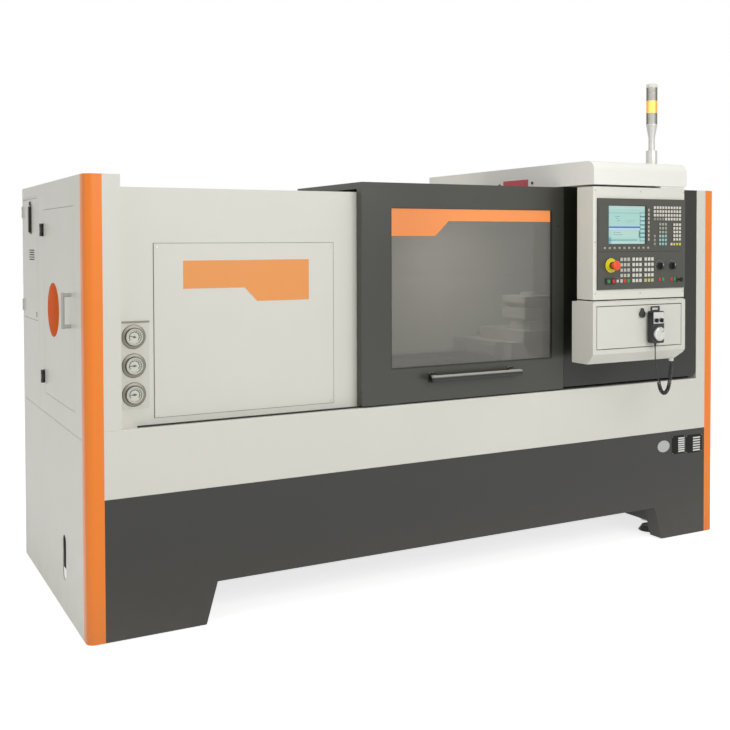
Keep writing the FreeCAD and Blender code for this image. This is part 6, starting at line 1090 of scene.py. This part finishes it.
for x, body in KNOBS:
    outline = rounded_outline(x - 2.2, x + 2.2, 1252, 1261, 1.2, 3)
    fit(front_plate(body + "_pointer", outline, KNOB_FACE, 0.4, finishes["pale_print"], 0.1), body)

# %% [markdown]
# ## Signal tower
# The three lenses are clear ribbed sleeves over a lamp, and the middle one is lit amber. Light passes straight
# through the middle of such a sleeve and is bent away at its sides, which is why clear lenses look dark at
# their edges. Each sleeve is turned with a fine rib profile, so that it catches the light in rings. They stand
# on a turned aluminium post that widens to a collar.

# %% Post and lenses
def lens_material(name, middle, side, glow_strength):
    """Plastic whose colour is painted darker towards its sides, painted shade of the light bent away there;
    plain or lit from inside.
    """
    lens = new_material(name, {"Emission Strength": glow_strength, "Coat Weight": 0.3})
    facing_away = lens.node("LayerWeight", [("Blend", 0.5)]).outputs["Facing"]
    # The sides of the sleeve get painted shade in their colour.
    side_shade_mask = lens.out("MapRange", [(0, facing_away), (1, 0.12), (2, 0.45)])
    side_shaded_colour = lens.mixed(side_shade_mask, middle, side)
    cloud = lens.out("TexNoise", [("Vector", lens.place()), ("Scale", 60.0)])
    lens.shade(Base_Color=side_shaded_colour, Emission_Color=side_shaded_colour,
               Roughness=lens.out("MapRange", [(0, cloud), (3, 0.12), (4, 0.2)]))
    return lens.material


clear_lens = lens_material("clear_lens", colour(214, 212, 202), colour(84, 82, 72), 0.0)
amber_lens = lens_material("amber_lens", colour(255, 232, 120), colour(238, 142, 24), 0.45)
TOWER = (2377.0, -135.0)
POST_FOOT, LENS_FOOT, LENS_PITCH = 1684, 1855.0, 51.7
UP = (0, 0, 1)
post_form = [(0, 0.05), (23.6, 0.05), (23.6, 55), (22.4, 58.2), (19.6, 59), (13.5, 59), (13.5, 112), (23, 166),
             (24, 166.4), (24, 170.9), (0, 170.9)]
post = turned("tower_post", post_form, at(*TOWER, POST_FOOT), UP, finishes["post_metal"], 64)
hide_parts("signal_tower")
fit(post, "machine")
sleeve = [(0, 0.05), (22.6, 0.05)]
for rib in range(15):
    sleeve += [(23.3, 0.6 + 3.05 * rib), (23.3, 2.2 + 3.05 * rib), (22.7, 2.9 + 3.05 * rib)]
sleeve += [(22.6, 47.6), (0, 47.6)]
lens_rim = [(0, 47.65), (23.4, 47.65), (24, 48.2), (24, 51.1), (23.4, 51.65), (0, 51.65)]
cap_form = [(0, 0.05), (23.6, 0.05), (24, 0.5), (24, 10.4), (22.4, 14.2), (19.2, 16.7), (10.8, 18.8), (0, 19)]
# The low lens has an amber rim, because the lit lens above shines into it.
for name, profile, step, plastic in (
        ("lens_low", sleeve, 0, clear_lens), ("lens_rim_1", lens_rim, 0, amber_lens),
        ("lens_amber", sleeve, 1, amber_lens), ("lens_rim_2", lens_rim, 1, clear_lens),
        ("lens_top", sleeve, 2, clear_lens), ("lens_rim_3", lens_rim, 2, clear_lens),
        ("tower_cap", cap_form, 3, finishes["white_paint"])):
    foot = at(*TOWER, LENS_FOOT + LENS_PITCH * step)
    fit(turned(name, profile, foot, UP, plastic, 64), "machine")

# %% [markdown]
# ## Hand unit
# The hand unit has a brushed label plate with two small knobs through it. The plate's holes are cut with a
# boolean, which is the direct way for a few holes in a thin sheet.

# %% Label plate
def pierced(piece, holes, radius):
    """Cuts round holes through a front plate at (x, z) places."""
    cutters = bmesh.new()
    for x, z in holes:
        near, far = [[cutters.verts.new(at(px, y, pz)) for px, pz in circle(x, z, radius, 32)]
                     for y in (-240, -290)]
        cutters.faces.new(near)
        cutters.faces.new(far[::-1])
        bridge(cutters, near, far)
    tool = from_bmesh("hole_cutters", cutters, None)
    cut = piece.modifiers.new("holes", "BOOLEAN")
    cut.operation = "DIFFERENCE"
    cut.solver = "EXACT"
    cut.object = tool
    bpy.context.view_layer.update()
    mesh = bpy.data.meshes.new_from_object(piece.evaluated_get(bpy.context.evaluated_depsgraph_get()))
    piece.modifiers.remove(cut)
    piece.data = mesh
    bpy.data.objects.remove(tool)


ON_LABEL_BED = -264.02
label_plate = front_plate("hand_unit_label", rounded_outline(2268, 2326, 1013, 1060, 3, 5), ON_LABEL_BED, 0.6,
                          finishes["satin_aluminium"], 0.2)
pierced(label_plate, ((2283, 1026), (2311, 1026)), 4.0)
fit(label_plate, "storage_flap")
